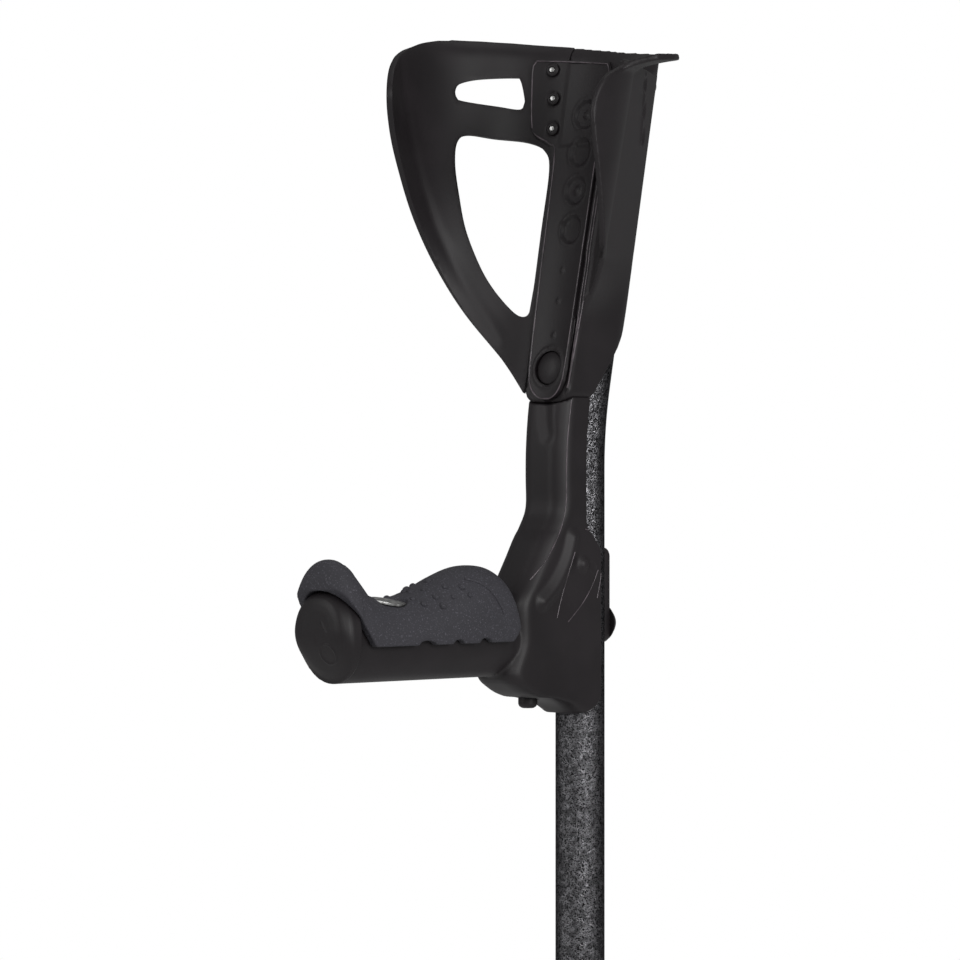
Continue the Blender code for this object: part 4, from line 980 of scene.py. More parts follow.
def hammered_paint():
    """Dark paint with bright flakes that dries in small wormy cells."""
    f = Finish("hammered_paint")
    warp = f.noise(420.0, 1.0)
    worms = f.noise(1250.0, 1.0, 0.5, seed=2.0)
    swing = (worms - 0.5) * 2.0
    folds = 1.0 - swing.maths("ABSOLUTE", swing) * 3.6
    bright = folds.smooth(0.1, 0.75) * (0.45 + 0.55 * warp.smooth(0.35, 0.6))
    tone = colour("paint")
    f.bump(folds * 0.8 + worms, 0.38, 0.0004)
    return f.feed(Base_Color=tinted(f.tree, bright, scaled(tone, 0.15), scaled(tone, 2.6)),
                  Metallic=1.0, Specular_Tint=(0.3, 0.3, 0.3, 1.0),
                  Roughness=0.27 + 0.10 * (1.0 - bright))


def black_plastic():
    """Fine-grained moulded plastic, a little cloudy from handling."""
    f = Finish("black_plastic")
    cloud = f.noise(38.0, 3.0)
    grain = f.noise(2600.0, 1.0, seed=5.0)
    tone = colour("plastic")
    f.bump(grain, 0.12, 0.0001)
    return f.feed(Base_Color=tinted(f.tree, cloud.smooth(0.3, 0.75), scaled(tone, 0.85),
                                    scaled(tone, 1.3)),
                  Roughness=0.44 + 0.12 * cloud, Specular_IOR_Level=0.30)


def polished_edge():
    """The same plastic on mould lines, less rough and painted pale: a painted highlight along each line.
    """
    f = Finish("polished_edge")
    # Patches of painted highlight: the colour runs from three to nine times the plastic's own.
    wear_and_sheen = f.noise(160.0, 2.0, seed=3.0)
    tone = colour("plastic")
    return f.feed(Base_Color=tinted(f.tree, wear_and_sheen.smooth(0.35, 0.65), scaled(tone, 3.0),
                                    scaled(tone, 9.0)),
                  Roughness=0.26 + 0.12 * wear_and_sheen)


def grip_rubber():
    """Matt grey rubber with a fine sandy speckle."""
    f = Finish("grip_rubber")
    sand = f.noise(1500.0, 2.0, 0.6)
    cloud = f.noise(60.0, 2.0, seed=3.0)
    specks = sand.smooth(0.56, 0.70)
    tone = colour("pad")
    base = tinted(f.tree, cloud, scaled(tone, 0.88), scaled(tone, 1.14))
    f.bump(sand, 0.5, 0.0003)
    return f.feed(Base_Color=tinted(f.tree, specks * 0.7, base, scaled(tone, 3.6)),
                  Roughness=0.66 + 0.12 * cloud, Specular_IOR_Level=0.32)


def plated_steel():
    f = Finish("plated_steel")
    cloud = f.noise(300.0, 3.0)
    tone = colour("steel")
    f.bump(f.noise(1800.0, 1.0, seed=4.0), 0.08, 0.0001)
    return f.feed(Base_Color=tinted(f.tree, cloud, scaled(tone, 0.82), scaled(tone, 1.12)),
                  Metallic=1.0, Roughness=0.24 + 0.18 * cloud)


def drawn_aluminium():
    """Aluminium with the fine lengthwise lines of its drawing."""
    f = Finish("drawn_aluminium")
    lines = f.noise(1.0, 3.0, 0.6, place=f.stretched(2400.0, 2400.0, 30.0))
    cloud = f.noise(25.0, 2.0, seed=1.0)
    tone = colour("aluminium")
    f.bump(lines, 0.10, 0.0001)
    return f.feed(Base_Color=tinted(f.tree, lines * 0.6 + cloud * 0.4, scaled(tone, 0.86),
                                    scaled(tone, 1.08)),
                  Metallic=1.0, Roughness=0.24 + 0.16 * lines)


def foot_rubber():
    """Black rubber, scuffed grey toward the floor."""
    f = Finish("foot_rubber")
    split = Shade.node(f.tree, "ShaderNodeSeparateXYZ", out=2, Vector=f.place)
    scuff = f.noise(240.0, 4.0, 0.65)
    wear_and_sheen = (1.0 - split.smooth(0.001, 0.009)) * scuff.smooth(0.42, 0.62)
    tone = colour("rubber")
    f.bump(scuff, 0.2, 0.0002)
    return f.feed(Base_Color=tinted(f.tree, wear_and_sheen, tone, scaled(tone, 3.0)),
                  Roughness=0.62 + 0.2 * scuff, Specular_IOR_Level=0.35)


def bush_nylon():
    f = Finish("bush_nylon")
    cloud = f.noise(120.0, 2.0)
    tone = colour("nylon")
    f.bump(f.noise(1500.0, 1.0, seed=6.0), 0.1, 0.0001)
    return f.feed(Base_Color=tinted(f.tree, cloud, scaled(tone, 0.85), scaled(tone, 1.15)),
                  Roughness=0.45 + 0.1 * cloud)


def badge_metal():
    """A bright insert with a hammered face."""
    f = Finish("badge_metal")
    dents = f.cells(520.0)
    tone = colour("steel")
    f.bump(dents, 0.5, 0.0005)
    return f.feed(Base_Color=tinted(f.tree, dents.smooth(0.1, 0.7), scaled(tone, 1.15),
                                    scaled(tone, 0.45)),
                  Metallic=1.0, Roughness=0.38 + 0.1 * dents)


FINISHES = {}
MAKERS = {
    "hammered_paint": hammered_paint, "black_plastic": black_plastic, "grey_rubber": grip_rubber,
    "polished_edge": polished_edge, "zinc_steel": plated_steel, "leg_aluminium": drawn_aluminium,
    "black_rubber": foot_rubber, "grey_nylon": bush_nylon, "badge_metal": badge_metal,
}


def finish_named(name):
    if name not in FINISHES:
        FINISHES[name] = MAKERS[name]()
    return FINISHES[name]


def fitted(thing, body, material_slot, *nodes, look=None):
    """Give a piece its finish, its body and the solids that it stands for."""
    thing.data.materials.clear()
    thing.data.materials.append(finish_named(look or material_slot))
    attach(thing, body)
    if nodes:
        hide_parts(*nodes)
    return thing


# Painted tube, leg and foot

def painted_tube():
    outer = tube_rings(D["tube_r"], TUBE_BOTTOM, TUBE_TOP, drop=0.4 * MM)
    inner = tube_rings(D["bore_r"], TUBE_BOTTOM, TUBE_TOP)
    tube = finish(loft([*outer, *reversed(inner)], closed=True), "painted_tube")
    cutters = []
    for k in range(-HOLES_EACH_WAY, HOLES_EACH_WAY + 1):
        cutters.append(turned(rod_profile(LEG_BUTTON_D / 2 + HOLE_SLACK, 0.0, size("tube_d")), 40,
                              behind_tube(D["button_z"] + k * HOLE_PITCH)))
    through = 30.0 * MM
    cutters += [
        turned(rod_profile(BOLT_D / 2 + HOLE_SLACK, -through, through), 24, behind_tube(BOLT_Z)),
        turned(rod_profile(CUFF_PEG_D / 2 + 2 * HOLE_SLACK, 0.0, through), 24,
               before_cuff(CUFF_BUTTON_Z)),
        turned(rod_profile(CUFF_SCREW_D / 2 + HOLE_SLACK, 0.0, through), 24,
               behind_cuff(CUFF_SCREW_Z))]
    return cut(tube, *cutters)


def hole_rims():
    """A fine rolled rim round each of the leg's holes in the tube."""
    count = 2 * HOLES_EACH_WAY + 1
    start = Vector((0.0, D["tube_r"] - 0.45 * MM, D["button_z"] - HOLES_EACH_WAY * HOLE_PITCH))
    return grown("hole_rims", rings_tree(), {
        "Count": count, "Start": tuple(start), "Step": (0.0, 0.0, HOLE_PITCH),
        "Ring radius": LEG_BUTTON_D / 2 + HOLE_SLACK + 0.1 * MM, "Wire radius": 0.32 * MM,
        "Turn": (math.pi / 2, 0.0, 0.0), "Material": finish_named("hammered_paint")})


def plug():
    r = D["tube_r"]
    bore = D["bore_r"] - GAP
    profile = [(0.0, 2.0 * MM), (r, 2.0 * MM), (r, GAP), (bore, GAP), (bore, -20.0 * MM),
               (0.0, -20.0 * MM)]
    top = Vector((0.0, axis_y(TUBE_TOP), TUBE_TOP))
    hole = turned(rod_profile(CUFF_SCREW_D / 2 + HOLE_SLACK, CUFF_SCREW_TIP - GAP, 2 * r), 24,
                  behind_cuff(CUFF_SCREW_Z))
    return cut(finish(turned(eased(profile, 0.6 * MM), 64, facing(top, D["up"])), "top_plug"), hole)


def bush():
    outer = D["bore_r"] - SLIDE_SLACK
    inner = D["leg_r"] + SLIDE_SLACK
    wide = D["tube_r"] + 1.5 * MM
    flange = TUBE_BOTTOM - GAP
    profile = [(outer, TUBE_BOTTOM + BUSH_LENGTH), (outer, flange), (wide, flange),
               (wide, flange - BUSH_FLANGE), (inner, flange - BUSH_FLANGE),
               (inner, TUBE_BOTTOM + BUSH_LENGTH)]
    return finish(turned(eased(profile, 0.5 * MM), 96), "bush")


def leg():
    profile = pipe_profile(D["leg_r"], D["leg_bore_r"], D["leg_foot"], D["leg_top"])
    thing = finish(turned(eased(profile, 0.3 * MM), size("tube_segments")), "leg")
    return cut(thing, turned(rod_profile(LEG_BUTTON_D / 2 + HOLE_SLACK, 0.0, size("leg_d")), 40,
                             behind_tube(D["button_z"])))


def press_button():
    tip = D["tube_r"] + LEG_BUTTON_OUT
    r = LEG_BUTTON_D / 2
    foot_r = r + 1.4 * MM
    foot = D["leg_bore_r"] - BUTTON_FOOT_IN
    profile = [(0.0, tip), (r * 0.35, tip - 0.12 * MM), (r * 0.65, tip - 0.5 * MM),
               (r * 0.88, tip - 1.0 * MM), (r, tip - 1.7 * MM), (r, foot), (foot_r, foot),
               (foot_r, foot - BUTTON_FOOT_T), (0.0, foot - BUTTON_FOOT_T)]
    return finish(turned(eased(profile, 0.3 * MM), 48, behind_tube(D["button_z"])), "press_button")


def leaf_reach():
    """How far back the leaf spring touches its button, and where it leans on the leg's bore."""
    touch = D["leg_bore_r"] - BUTTON_FOOT_IN - BUTTON_FOOT_T - GAP
    return touch, -math.sqrt(D["leg_bore_r"] ** 2 - (LEAF_W / 2) ** 2) + GAP


def leaf_spring():
    width = LEAF_W
    leaf = 0.7 * MM
    z = D["button_z"]
    touch, front = leaf_reach()
    low = z - 30.0 * MM
    high = z + 6.0 * MM
    outer = [(front, high), (front, low + 3.0 * MM), (front + 2.2 * MM, low),
             (front + 5.0 * MM, low), (touch, z - 7.0 * MM), (touch, high)]
    inner = [(touch - leaf, high), (touch - leaf, z - 6.8 * MM), (front + 4.6 * MM, low + leaf),
             (front + 2.4 * MM, low + leaf), (front + leaf, low + 3.2 * MM), (front + leaf, high)]
    outline = outer + inner
    rings = [[Vector((x, y, z0)) for y, z0 in outline] for x in (-width / 2, width / 2)]
    return rounded_edges(finish(loft(rings), "leaf_spring"), 0.15 * MM)


def foot():
    """The rubber foot, with ribs on its neck and ring grooves in its sole."""
    r = size("ferrule_d") / 2
    h = size("ferrule_h")
    neck = FERRULE_NECK_D / 2
    bore = D["leg_r"] + SLIDE_SLACK
    profile = [(bore, h), (neck + 0.6 * MM, h), (neck + 1.0 * MM, h - 1.0 * MM),
               (neck + 1.0 * MM, h - 5.0 * MM), (neck, h - 6.5 * MM)]
    for k in range(3):
        top = h - 9.0 * MM - k * 4.0 * MM
        profile += [(neck, top), (neck + 0.6 * MM, top - 0.6 * MM), (neck + 0.6 * MM, top - 1.6 * MM),
                    (neck, top - 2.2 * MM)]
    profile += [(neck + 0.4 * MM, 24.0 * MM), (neck + 1.4 * MM, 17.0 * MM), (r - 5.0 * MM, 11.0 * MM),
                (r - 3.0 * MM, 8.0 * MM), (r - 0.4 * MM, 5.4 * MM), (r, 4.4 * MM), (r, 1.2 * MM),
                (r - 1.2 * MM, 0.0)]
    for radius in (r - 4.5 * MM, r - 8.5 * MM, r - 12.5 * MM):
        profile += [(radius + 0.9 * MM, 0.0), (radius + 0.6 * MM, 1.4 * MM),
                    (radius - 0.6 * MM, 1.4 * MM), (radius - 0.9 * MM, 0.0)]
    profile += [(0.0, 0.0), (0.0, FERRULE_SOLE), (bore, FERRULE_SOLE)]
    return finish(turned(eased(profile, 0.45 * MM, 2), 96), "foot")


def disc():
    low = FERRULE_SOLE + GAP
    return finish(turned(eased(rod_profile(D["leg_r"] - GAP, low, low + DISC_T), 0.3 * MM), 64),
                  "disc")


# Handle

def rounded_section(front, back, half_w, corner, z, back_corner=0.5 * MM, steps=10):
    points = []
    for side, start in ((-1, math.pi), (1, 1.5 * math.pi)):
        for k in range(steps + 1):
            a = start + math.pi / 2 * k / steps
            points.append(Vector((side * (half_w - corner) + corner * math.cos(a),
                                  front + corner + corner * math.sin(a), z)))
    points.append(Vector((half_w, back - back_corner, z)))
    points.append(Vector((half_w - back_corner, back, z)))
    points.append(Vector((-half_w + back_corner, back, z)))
    points.append(Vector((-half_w, back - back_corner, z)))
    return points


def oval(half_w, low, high, y, start=0.0, end=2 * math.pi, count=OVAL_POINTS, whole=True):
    """Points of a squarish oval across the grip, seen along Y."""
    middle = (low + high) / 2
    half_h = (high - low) / 2
    points = []
    for k in range(count):
        a = start + (end - start) * k / (count if whole else count - 1)
        c = math.cos(a)
        s = math.sin(a)
        points.append(Vector((math.copysign(abs(c) ** (2 / OVAL_POWER), c) * half_w, y,
                              middle + math.copysign(abs(s) ** (2 / OVAL_POWER), s) * half_h)))
    return points


def oval_angle(low, high, z):
    share = max(-1.0, min(1.0, (z - (low + high) / 2) / ((high - low) / 2)))
    return math.asin(math.copysign(abs(share) ** (OVAL_POWER / 2), share))


def arch(outer_w, outer_top, inner_w, inner_top, low, y, count=48):
    a = oval_angle(GRIP_BOTTOM, outer_top, low)
    outside = oval(outer_w, GRIP_BOTTOM, outer_top, y, a, math.pi - a, count, whole=False)
    b = oval_angle(GRIP_BOTTOM, inner_top, low)
    inside = oval(inner_w, GRIP_BOTTOM, inner_top, y, math.pi - b, b, count, whole=False)
    return outside + inside


def core_size(half_w, top):
    wall = size("pad_t") + GAP
    return half_w - wall, min(top - wall, CAP_TOP)


# Lines and spots of the handle, in the photograph's pixels
STEM_RIDGE = [(571.4, 400), (567.5, 440), (566.5, 470), (566, 505), (562, 525), (555, 543),
              (545, 562), (530, 580)]
HOUSING_FOLD = [(573, 538), (569, 556), (562, 574), (553, 590), (543, 602)]
HOUSING_LINES = [[(575, 552), (568, 575), (561, 600), (557, 618)],
                 [(598, 570), (592, 586), (582, 604), (568, 622)],
                 [(601.5, 566), (600, 582), (597, 598)]]
HOUSING_EDGE = [(585, 529), (592, 532), (599, 540), (602, 549), (602.5, 562)]
STEM_GROOVE = [(545, 407), (545, 420), (547, 434)]
HOUSING_BOSS = (583.5, 564.5)
HOUSING_RING = (594, 567)
HOUSING_DOTS = [(577, 590), (570, 605), (564, 650), (578, 640)]
PAD_ARC = [(465, 579), (480, 583), (492, 592), (500, 604), (504, 613)]
PAD_SWELL = (478, 600)
NUBS = [(462, 587), (453, 597), (443, 606), (445, 587), (423, 590), (413, 599), (424, 604),
        (426, 581), (436, 597), (404, 592), (470, 595), (409, 584)]
CAP_RING = (328, 654.5)
CAP_TICK = [(321, 622), (324, 630), (326, 634)]


def hem_line(drop=0.0):
    """The cuff's rounded lower end across its front, from side to side."""
    inner_w = column_half_w(CUFF_BOTTOM) - HEM_ROUND_W
    line = []
    for k in range(HEM_STEPS + 1):
        a = math.pi / 2 * k / HEM_STEPS
        line.append(Vector((inner_w + HEM_ROUND_W * math.cos(a), 0.0,
                            HEM_ROUND_H - HEM_ROUND_H * math.sin(a) - drop)))
    return line + [Vector((-p.x, 0.0, p.z)) for p in reversed(line)]


def front_block(outline, near, far):
    """An outline across the cuff's lower end, carried from one depth to another."""
    return loft([[p + Vector((0.0, y, CUFF_BOTTOM)) for p in outline] for y in (near, far)])


def housing_corner():
    """What rounds off the housing's lower rear corner."""
    start = -14 * MM
    deep = 15 * MM
    tall = 10 * MM
    steps = 12
    edge = [Vector((0, 2 * MM, -MM)), Vector((0, 2 * MM, tall + MM))]
    for k in range(steps + 1):
        a = math.pi / 2 * k / steps
        edge.append(Vector((0, start + deep * math.cos(a), tall * (1 - math.sin(a)))))
    edge.append(Vector((0, start, -MM)))
    return loft([[p + Vector((x, 0, HOUSING_BOTTOM)) for p in edge] for x in (-20 * MM, 20 * MM)])


def handle_body():
    """Housing, stem and grip core in one moulding."""
    rings = []
    for z, front in curve_through(STEM_PROFILE, 4):
        back = HOUSING_BACK + (STEM_BACK - HOUSING_BACK) * ramp(z, STEM_BACK_LOW, STEM_BACK_HIGH)
        rings.append(rounded_section(axis_y(z) - front, axis_y(z) + back, STEM_HALF_W,
                                     STEM_CORNER, z))
    body = finish(loft(rings), "handle_body")
    core = []
    stations = [CORE_ROOT, *curve_through(PAD_STATIONS, 4)]
    for distance, half_w, top in stations:
        w, high = core_size(half_w, top)
        core.append(oval(w, GRIP_BOTTOM, high, -distance))
    join(body, loft(list(reversed(core))))
    high = 9.0 * MM
    seat = front_block([Vector((20 * MM, 0, high)), Vector((20 * MM, 0, HEM_ROUND_H - GAP)),
                        *hem_line(GAP), Vector((-20 * MM, 0, HEM_ROUND_H - GAP)),
                        Vector((-20 * MM, 0, high))], HEM_FRONT, 10 * MM)
    peg = turned(rod_profile(PEG_R + GAP, 0.0, PEG_L + GAP), 24,
                 facing((0, -GRIP_SPLIT, PEG_Z), (0, 1, 0)))
    screw = turned(rod_profile(GRIP_SCREW_HEAD_D / 2 + GAP, -8.0 * MM, GAP), 40,
                   Matrix.Translation((0, -GRIP_SCREW_Y, GRIP_SCREW_Z)))
    bore = tube_solid(D["tube_r"] + TUBE_SLACK, HOUSING_BOTTOM - 5 * MM, CUFF_BOTTOM + high)
    cut(body, bore, peg, screw, seat, housing_corner())
    moulded(body, size("voxel"), 10)
    raised(body, handle_relief(tree_of(body)))
    return smooth_shaded(body)


def handle_relief(tree):
    """The housing's fold, boss, ring and dots, and the groove at the top of the stem."""
    jobs = [ridge(seen_line(tree, HOUSING_FOLD), 5.5 * MM, 2.2 * MM),
            ridge(seen_line(tree, STEM_GROOVE), 6.0 * MM, -1.1 * MM),
            dome(seen(tree, *HOUSING_BOSS), 4.4 * MM, 1.9 * MM, 0.2),
            ring_mark(seen(tree, *HOUSING_RING), 2.2 * MM, 0.6 * MM, 0.3 * MM)]
    return jobs + [dome(seen(tree, *spot), 0.9 * MM, 0.4 * MM) for spot in HOUSING_DOTS]


def handle_lines(body):
    """The fine raised lines on the stem and the housing."""
    tree = tree_of(body)
    # These lines are painted pale as a painted highlight.
    return beads("handle_lines", [seen_line(tree, line) for line in
                                  [STEM_RIDGE, HOUSING_EDGE, *HOUSING_LINES]],
                 0.26 * MM, "polished_edge")


def pad_low(distance):
    """The pad's lower edge: three notches, round at the stem and rising under the horn."""
    low = PAD_LOW + 5.5 * MM * (1.0 - ramp(distance, GRIP_BACK, GRIP_BACK + 6.5 * MM))
    for at, half, rise in NOTCHES:
        away = min(1.0, abs(distance - at) / half)
        low += rise * math.sqrt(1.0 - away ** 2)
    return low + max(0.0, distance - HORN_START) * HORN_RISE


def palm_pad():
    """The soft pad: a saddle over the core with a horn over the cap."""
    rings = []
    for distance, half_w, top in curve_through(PAD_STATIONS, 8):
        w, high = core_size(half_w, top)
        rings.append(arch(half_w, top, w + GAP, high + GAP, pad_low(distance), -distance))
    for distance, half_w, top in curve_through(HORN_STATIONS, 4):
        rings.append(arch(half_w + 0.5 * MM, top, CAP_HALF_W + GAP, CAP_TOP + GAP,
                          pad_low(distance), -distance))
    pad = finish(loft(rings), "palm_pad")
    cut(pad, badge_body(BADGE_T, GAP, 6.0 * MM))
    moulded(pad, 0.55 * MM, 12)
    place = badge_place()
    outside = 1.3 * MM
    rim = [place @ Vector(((BADGE_WIDE / 2 + outside) * math.cos(a),
                           (BADGE_LONG / 2 + outside) * math.sin(a), 0.0))
           for a in (2 * math.pi * k / 64 for k in range(65))]
    raised(pad, [dome(seen(tree_of(pad), *PAD_SWELL), 13.0 * MM, 0.5 * MM),
                 ridge(rim, 1.4 * MM, 0.7 * MM)])
    return smooth_shaded(pad)


def pad_nubs(pad):
    """Low nubs over the pad's crown, the same on both sides."""
    tree = tree_of(pad)
    spots = []
    facings = []
    for x, y in NUBS:
        spot, normal = sight(tree, x, y)
        if spot is None:
            continue
        for side in (1.0, -1.0):
            spots.append(Vector((spot.x * side, spot.y, spot.z)))
            facings.append(Vector((normal.x * side, normal.y, normal.z)))
    return grown("pad_nubs", nubs_tree(), {
        "Radius": 1.4 * MM, "Flatness": 0.8, "Spread": 0.25, "Seed": 7,
        "Material": finish_named("grey_rubber")}, spots, facings)


def pad_arc(pad):
    """The curved rib near the pad's rear end, on both sides."""
    line = seen_line(tree_of(pad), PAD_ARC)
    other = [Vector((-p.x, p.y, p.z)) for p in line]
    return beads("pad_arc", [line, other], 0.75 * MM, "grey_rubber")


def badge_place():
    turn = Matrix.Rotation(BADGE_TILT, 4, "Y") @ Matrix.Rotation(BADGE_PITCH, 4, "X")
    return Matrix.Translation((BADGE_X, -BADGE_Y, BADGE_CENTRE_Z)) @ turn


def badge_body(depth, grow, rise):
    bm = turned(rod_profile(1.0, -depth - grow, rise), 64)
    across = Matrix.Diagonal((BADGE_WIDE / 2 + grow, BADGE_LONG / 2 + grow, 1.0, 1.0))
    bmesh.ops.transform(bm, matrix=badge_place() @ across, verts=bm.verts)
    return bm


def badge():
    return rounded_edges(finish(badge_body(BADGE_T, 0.0, 0.0), "badge"), 0.3 * MM)


def eased_in(value, reach):
    """Zero below 0, then rising to a straight line without a kink."""
    if value <= 0.0:
        return 0.0
    if value < reach:
        return value * value / (2 * reach)
    return value - reach / 2


def end_cap():
    """The grip's cap, with a softly edged face and a bare ring on it."""
    face = GRIP_END - 0.35 * MM
    seam = GRIP_SPLIT + 0.05 * MM
    steps = [(0.0, seam), (0.0, GRIP_END - 6.0 * MM), (0.5 * MM, GRIP_END - 4.2 * MM),
             (1.5 * MM, GRIP_END - 2.6 * MM), (3.0 * MM, GRIP_END - 1.3 * MM),
             (5.2 * MM, GRIP_END - 0.6 * MM), (8.0 * MM, face), (10.5 * MM, face),
             (13.0 * MM, face), (15.5 * MM, face)]
    rings = []
    for distance in (GRIP_SPLIT - PEG_L, seam):
        rings.append([Vector((PEG_R * math.cos(a), -distance, PEG_Z + PEG_R * math.sin(a)))
                      for a in (2 * math.pi * k / OVAL_POINTS for k in range(OVAL_POINTS))])
    middle = (GRIP_BOTTOM + CAP_TOP) / 2
    for inset, distance in steps:
        ring = oval(CAP_HALF_W - inset, GRIP_BOTTOM + inset, CAP_TOP - inset, -distance)
        for p in ring:
            below = eased_in(middle + 4.0 * MM - p.z, 12.0 * MM)
            below *= ramp(distance, GRIP_SPLIT + MM, GRIP_END)
            p.y += CAP_LEAN * below
            p.x *= 1.0 - CAP_NARROW * below / (middle - GRIP_BOTTOM)
        rings.append(ring)
    cap = finish(loft(rings), "end_cap")
    moulded(cap, 0.5 * MM, 14)
    tree = tree_of(cap)
    raised(cap, [ring_mark(seen(tree, *CAP_RING), 4.6 * MM, 0.6 * MM, 0.35 * MM),
                 ridge(seen_line(tree, CAP_TICK), 0.6 * MM, 0.3 * MM)])
    return smooth_shaded(cap)


def pan_screw():
    """The screw under the housing, with a socket in its head."""
    r = GRIP_SCREW_HEAD_D / 2
    t = GRIP_SCREW_HEAD_T
    shank = GRIP_SCREW_D / 2
    key = 2.2 * MM
    profile = [(0.0, GRIP_SCREW_L), (shank, GRIP_SCREW_L), (shank, 0.0), (r, 0.0),
               (r, -t + 1.8 * MM), (r - 0.5 * MM, -t + 0.8 * MM), (r - 1.6 * MM, -t + 0.1 * MM),
               (key, -t), (key, -t + 2.4 * MM), (0.0, -t + 2.4 * MM)]
    place = Matrix.Translation((0, -GRIP_SCREW_Y, GRIP_SCREW_Z))
    return finish(turned(eased(profile, 0.35 * MM), 48, place), "pan_screw")


def rounded_outline(half_w, half_h, corner, steps=10):
    points = []
    for quarter, (sx, sy) in enumerate(((1, 1), (-1, 1), (-1, -1), (1, -1))):
        for k in range(steps + 1):
            a = math.pi / 2 * (quarter + k / steps)
            points.append((sx * (half_w - corner) + corner * math.cos(a),
                           sy * (half_h - corner) + corner * math.sin(a)))
    return points


def saddle_plate():
    back = D["tube_r"] + SADDLE_T
    front = 0.75 * D["tube_r"]
    outline = rounded_outline(SADDLE_W / 2, (SADDLE_TOP - SADDLE_BOTTOM) / 2, 4.0 * MM)
    middle = (SADDLE_TOP + SADDLE_BOTTOM) / 2
    rings = [[Vector((x, y, middle + z)) for x, z in outline] for y in (front, back)]
    plate = finish(loft(rings), "saddle_plate")
    hole = turned(rod_profile(BOLT_D / 2 + HOLE_SLACK, 0.0, 2 * back), 32, behind_tube(BOLT_Z))
    tube = turned(rod_profile(D["tube_r"] + TUBE_SLACK, SADDLE_BOTTOM - MM, SADDLE_TOP + MM), 96)
    cut(plate, tube, hole)
    return rounded_edges(plate, 0.5 * MM)


def dome_cap():
    seat = D["tube_r"] + SADDLE_T + GAP
    r = BOLT_CAP_D / 2
    h = BOLT_CAP_H
    inner = BOLT_HEAD_D / 2 + GAP
    profile = [(0.0, seat + h)]
    for share in (0.2, 0.42, 0.6, 0.76, 0.87, 0.95):
        profile.append((r * share, seat + h * (1.0 - share ** 2.2) * 0.995))
    profile += [(r, seat + h * 0.08), (r, seat), (inner, seat), (inner, seat + BOLT_HEAD_T + GAP),
                (0.0, seat + BOLT_HEAD_T + GAP)]
    return finish(turned(profile, 64, behind_tube(BOLT_Z)), "dome_cap")


# Cuff

def cuff_radius(z):
    return size("cuff_r") + (z - CUFF_BOTTOM - CUFF_R_UP) * CUFF_GROWTH


def cuff_centre_y(z):
    return tilted_y(z) - CUFF_SETBACK - cuff_radius(z)


def rim_height(angle):
    for (a1, fall1), (a2, fall2) in zip(RIM_FALL, RIM_FALL[1:]):
        if a1 <= angle <= a2:
            return CUFF_TOP - fall1 - (fall2 - fall1) * (angle - a1) / (a2 - a1)
    return CUFF_TOP - (RIM_FALL[0][1] if angle < RIM_FALL[0][0] else RIM_FALL[-1][1])


def lip(angle, z):
    """How far the rim flares outward."""
    share = max(0.0, (z - rim_height(angle) + LIP_H) / LIP_H)
    near = ramp(angle, *LIP_RISE) * (1.0 - LIP_DROP_SHARE * ramp(angle, *LIP_DROP))
    return (LIP_FAR + (LIP_NEAR - LIP_FAR) * near) * min(1.0, share) ** 3


def cuff_surface(angle, z):
    """The wings' shared inner surface; angle 0 is at the tube, and the near wing's are positive."""
    r = cuff_radius(z) + lip(angle, z)
    a = math.radians(angle)
    return Vector((r * math.sin(a), cuff_centre_y(z) + r * math.cos(a), z))


def cuff_normal(angle, z):
    along = cuff_surface(angle + 1.0, z) - cuff_surface(angle - 1.0, z)
    upward = cuff_surface(angle, z) - cuff_surface(angle, z - 0.5 * MM)
    return upward.normalized().cross(along.normalized()).normalized()


def flat(point):
    """An angle and a height on the cuff, as a place on a flat drawing of it."""
    return Vector((point[0] * UNROLL, point[1]))


def split_loop(points, longest):
    """A loop with its long edges split, and its points near the rim put on the rim."""
    dense = []
    for a, b in zip(points, points[1:] + points[:1]):
        count = max(1, math.ceil((flat(b) - flat(a)).length / longest))
        for k in range(count):
            t = k / count
            dense.append((a[0] + (b[0] - a[0]) * t, a[1] + (b[1] - a[1]) * t))
    return [(a, rim_height(a) if abs(z - rim_height(a)) < RIM_SNAP else z) for a, z in dense]


def inside_loop(point, loop):
    x, y = point
    hit = False
    for (x1, y1), (x2, y2) in zip(loop, loop[1:] + loop[:1]):
        if (y1 > y) != (y2 > y) and x < (x2 - x1) * (y - y1) / (y2 - y1) + x1:
            hit = not hit
    return hit


def lip_points(low, high):
    """Close rows of points where the cuff's rim flares."""
    points = []
    for down in LIP_ROWS:
        angle = low
        while angle < high:
            points.append((angle, rim_height(angle) - down * MM))
            angle += LIP_STEP
    return points


def in_sheet(point, loops):
    """Whether a point lies in the first loop and in none of the others."""
    outline, *windows = loops
    return inside_loop(point, outline) and not any(inside_loop(point, hole) for hole in windows)


def staggered(loop, spacing):
    """Rows of points over a loop's box, every second row shifted by half a step."""
    lows = [min(p[k] for p in loop) for k in (0, 1)]
    highs = [max(p[k] for p in loop) for k in (0, 1)]
    for i in range(1, int((highs[0] - lows[0]) * UNROLL / spacing) + 1):
        for j in range(1, int((highs[1] - lows[1]) / spacing) + 1):
            shift = 0.5 * (j % 2)
            yield lows[0] + (i - shift) * spacing / UNROLL, lows[1] + j * spacing


